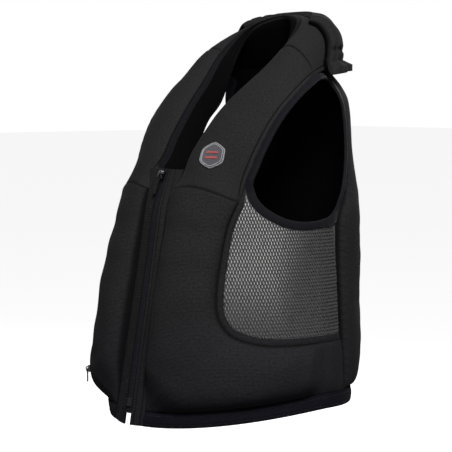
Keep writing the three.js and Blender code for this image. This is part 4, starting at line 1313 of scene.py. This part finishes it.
def patch_surface():
    """A function that sets the patch's flat places on the collar, at a height above it."""
    stations = np.linspace(PATCH_STATION - 0.35, PATCH_STATION + 0.77, 60)
    across = np.linspace(3.0, 6.6, 60)
    outer, inner = collar_grid(stations, across)
    spot = np.abs(stations - PATCH_STATION).argmin(), np.abs(across - ACROSS * PATCH_SHARE).argmin()
    centre, square = outer[spot], normals(outer, inner)[spot]
    upright = unit(np.array([0, 0, 1.0]) - square * square[2])
    level = np.cross(upright, square)
    flat = np.stack([(outer - centre) @ level, (outer - centre) @ upright], -1).reshape(-1, 2)
    height = ((outer - centre) @ square).ravel()

    def terms(p):
        u, v = p.T
        return np.stack([np.ones(len(p)), u, v, u**2, v**2, u * v], -1)

    close = (flat**2).sum(1) < (PATCH_RADIUS * 1.25) ** 2
    fit = np.linalg.lstsq(terms(flat[close]), height[close], rcond=None)[0]

    def place(p, lift):
        rise = (terms(p) @ fit + lift)[:, None]
        return centre + p[:, :1] * level + p[:, 1:] * upright + rise * square

    return place


def patch():
    """Six-sided sewn patch with a pale corded rim and two plain bars."""
    place = patch_surface()
    angle = np.arange(PATCH_AROUND) / PATCH_AROUND * 2 * math.pi
    wave = np.cos(6 * angle)
    radius = PATCH_RADIUS * (1 - 0.035 * wave + 0.01 * wave * wave)
    ways = np.stack([np.cos(angle), np.sin(angle)], -1)
    flats = [ways * (radius * reach)[:, None] for reach in PATCH_PROFILE["reach"]]
    middle = np.zeros((1, 2))
    rows = [place(flat, lift) for flat, lift in zip(flats, PATCH_PROFILE["lift"])]
    points = np.concatenate(rows + [place(middle, PATCH_TOP), place(middle, PATCH_UNDER)])
    ring = np.arange(PATCH_AROUND)
    after = (ring + 1) % PATCH_AROUND
    last = (len(rows) - 1) * PATCH_AROUND
    top, low = last + PATCH_AROUND, last + PATCH_AROUND + 1
    faces, slots = [], []
    for r, slot in enumerate(PATCH_PROFILE["slot"][1:]):
        a, b = r * PATCH_AROUND, (r + 1) * PATCH_AROUND
        faces += np.stack([a + ring, b + ring, b + after, a + after], -1).tolist()
        slots += [int(slot)] * PATCH_AROUND
    for k, n in zip(ring.tolist(), after.tolist()):
        faces += [[top, k, n], [low, last + n, last + k]]
        slots += [0, 2]
    field = satin("patch_field", (0.085, 0.085, 0.10), 45)
    pale = satin("patch_pale_cord", (0.34, 0.34, 0.36), 90)
    dark = satin("patch_ground", (0.03, 0.03, 0.033), 45)
    uv = np.concatenate(flats + [middle, middle])
    obj = mesh_object("sewn_patch", points, faces, [field, pale, dark, pale], slots, uv)
    obj.data.set_sharp_from_angle(angle=1.2)
    belongs(obj, "patch", "chest_patch")
    patch_bars(place)


def patch_bars(place):
    """Two raised bars of red thread."""
    u = np.linspace(-BAR_HALF, BAR_HALF, BAR_POINTS)
    lines, faces = [], []
    for bar, y in enumerate((BAR_OFFSET, -BAR_OFFSET)):
        for lift, wide, long in ((2.1, 1.0, 1.0), (2.75, 0.72, 0.96)):
            for v in (-BAR_RISE * wide, BAR_RISE * wide):
                lines.append(place(together(u * long, y + v), lift))
        ring = [(bar * 4 + line) * BAR_POINTS for line in (0, 2, 3, 1)]
        for k in range(BAR_POINTS - 1):
            faces += [[a + k, b + k, b + k + 1, a + k + 1] for a, b in zip(ring, ring[1:] + ring[:1])]
        faces += [ring[::-1], [r + BAR_POINTS - 1 for r in ring]]
    points = np.concatenate(lines)
    uv = together(np.tile(np.linspace(-8, 8, BAR_POINTS), len(lines)), 0.0)
    red = satin("patch_red_thread", (0.40, 0.045, 0.04), 0)
    obj = mesh_object("patch_bars", points, faces, [red], uv=uv)
    obj.data.set_sharp_from_angle(angle=0.8)
    belongs(obj, "patch")


def pocket_zip():
    """Zip tape on the right panel, fitted to its solid, with its slit and teeth."""
    corners = np.array([v.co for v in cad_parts["pocket_zip_tape"].data.vertices]) / MM
    centre = corners.mean(0)
    outward = unit(trunk(-POCKET_DEG, -350, 1) - trunk(-POCKET_DEG, -350, 0))
    beside = unit(np.cross(outward, [0, 0, 1.0]))

    def terms(u, z):
        u, v = np.ravel(u) / 25, (np.ravel(z) - (POCKET_TOP + POCKET_LOW) / 2) / 25
        return np.stack([np.ones(len(u)), u, v, v**2, v**3, u * v], -1)

    solid = terms((corners - centre) @ beside, corners[:, 2])
    fit = np.linalg.lstsq(solid, (corners - centre) @ outward, rcond=None)[0]
    share = np.linspace(-1, 1, 13)
    u, z = np.meshgrid(share * POCKET_TAPE / 2, np.linspace(POCKET_TOP, POCKET_LOW, 60))
    rise = (terms(u, z) @ fit).reshape(u.shape)
    spot = centre + u[..., None] * beside + rise[..., None] * outward
    spot[..., 2] = z
    ridge = 0.9 + 0.9 * bell(np.abs(share) - 0.22, 0.1) - 0.5 * bell(share, 0.09)
    piece("pocket_tape", "zip_tape", ["pocket_zip_tape"], spot + ridge[:, None] * outward,
          spot - 0.6 * outward, [ZIP_TAPE, LINING], uv=together(u, z), seam=bell(share, 0.1))


def hardware():
    """The sliders, pulls and box keep their solids and get their own finish."""
    finish = {"zip_slider": METAL, "zip_pull": PULL, "zip_box": BOX,
              "pocket_slider": METAL, "pocket_pull": PULL}
    for node, material in finish.items():
        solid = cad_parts[node].data
        solid.materials.clear()
        solid.materials.append(material)


for side in ("left", "right"):
    front_panel(side)
    collar_piece("collar_" + side, 0, NAPE_SEAM, side)
    side_trim(side)
    net_panel(side)
    armhole_binding(side)
collar_piece("collar_back", NAPE_SEAM, 2 * NAPE_MIDDLE - NAPE_SEAM, "left")
nape_cover()
back_panel()
hem_band()
outer_edge = PLACKET_HALF + LAP
zip_strip("zip_tape_left", ZIP_SLIT, TAPE_HALF + 2 * LAP, -0.8, 0.7, ZIP_TAPE, "zip_tape", bottom=TAPE_END)
zip_strip("zip_tape_right", -2 * LAP, TAPE_HALF, -2.2, -0.9, ZIP_TAPE, "zip_tape", bottom=TAPE_END)
zip_strip("zip_placket_left", TAPE_HALF + SEAM_GAP, outer_edge, 0, SHELL, CLOTH, "cloth",
          grooves=PLACKET_SEAMS)
zip_strip("zip_guard_right", ZIP_SLIT, outer_edge, 0, SHELL, CLOTH, "cloth", grooves=GUARD_SEAMS)
zip_coil()
sew()
patch()
pocket_zip()
hardware()

# Stage, light and camera, in metres

FLOOR_Z = -0.95
FLOOR_HALF = 30
CAMERA_PLACE = (1.5265, -1.3050, -0.0071)
CAMERA_TARGET = (0.0003, -0.0244, -0.1815)
WORLD_LIGHT = 0.13
WORLD_SEEN = 1.0


def add_object(name, data):
    obj = bpy.data.objects.new(name, data)
    bpy.context.collection.objects.link(obj)
    return obj


def aim(obj, place, target):
    obj.location = place
    obj.rotation_euler = (Vector(target) - Vector(place)).to_track_quat("-Z", "Y").to_euler()


def area_light(name, place, target, size, power):
    data = bpy.data.lights.new(name, "AREA")
    data.shape = "DISK"
    data.size = size
    data.energy = power
    aim(add_object(name, data), place, target)


floor_mesh = bpy.data.meshes.new("floor")
floor_corners = [(x * FLOOR_HALF, y * FLOOR_HALF, FLOOR_Z) for x, y in ((-1, -1), (1, -1), (1, 1), (-1, 1))]
floor_mesh.from_pydata(floor_corners, [], [(0, 1, 2, 3)])
paper = bpy.data.materials.new("pale_floor")
paper.use_nodes = True
paper_inputs = paper.node_tree.nodes["Principled BSDF"].inputs
paper_inputs["Base Color"].default_value = (0.93, 0.93, 0.93, 1)
paper_inputs["Roughness"].default_value = 0.9
paper_inputs["Emission Color"].default_value = (1, 1, 1, 1)
paper_inputs["Emission Strength"].default_value = 0.8
floor_mesh.materials.append(paper)
floor = add_object("floor", floor_mesh)
floor.visible_diffuse = False
floor.visible_glossy = False

# The world is white to the camera and dimmer as a light
world = bpy.data.worlds.new("studio")
bpy.context.scene.world = world
world.use_nodes = True
tree = world.node_tree
background = tree.nodes["Background"]
background.inputs["Color"].default_value = (1, 1, 1, 1)
path = tree.nodes.new("ShaderNodeLightPath")
level = tree.nodes.new("ShaderNodeMapRange")
level.inputs["To Min"].default_value = WORLD_LIGHT
level.inputs["To Max"].default_value = WORLD_SEEN
tree.links.new(path.outputs["Is Camera Ray"], level.inputs["Value"])
tree.links.new(level.outputs["Result"], background.inputs["Strength"])

area_light("key", (1.85, -1.15, 1.6), (0, -0.05, -0.15), 1.0, 77)
area_light("top", (0.3, -0.5, 2.2), (0, 0, -0.1), 1.2, 6)
area_light("side", (-2.2, -1.0, 0.3), (0, 0, -0.2), 0.8, 2)
area_light("rear", (-1.2, 2.2, 1.2), (0, 0, -0.2), 1.4, 36)

camera = bpy.data.cameras.new("camera")
camera.lens = 120.66
camera.sensor_width = 36
camera.clip_end = 100
eye = add_object("camera", camera)
aim(eye, CAMERA_PLACE, CAMERA_TARGET)
bpy.context.scene.camera = eye
bpy.context.scene.view_settings.view_transform = "Standard"
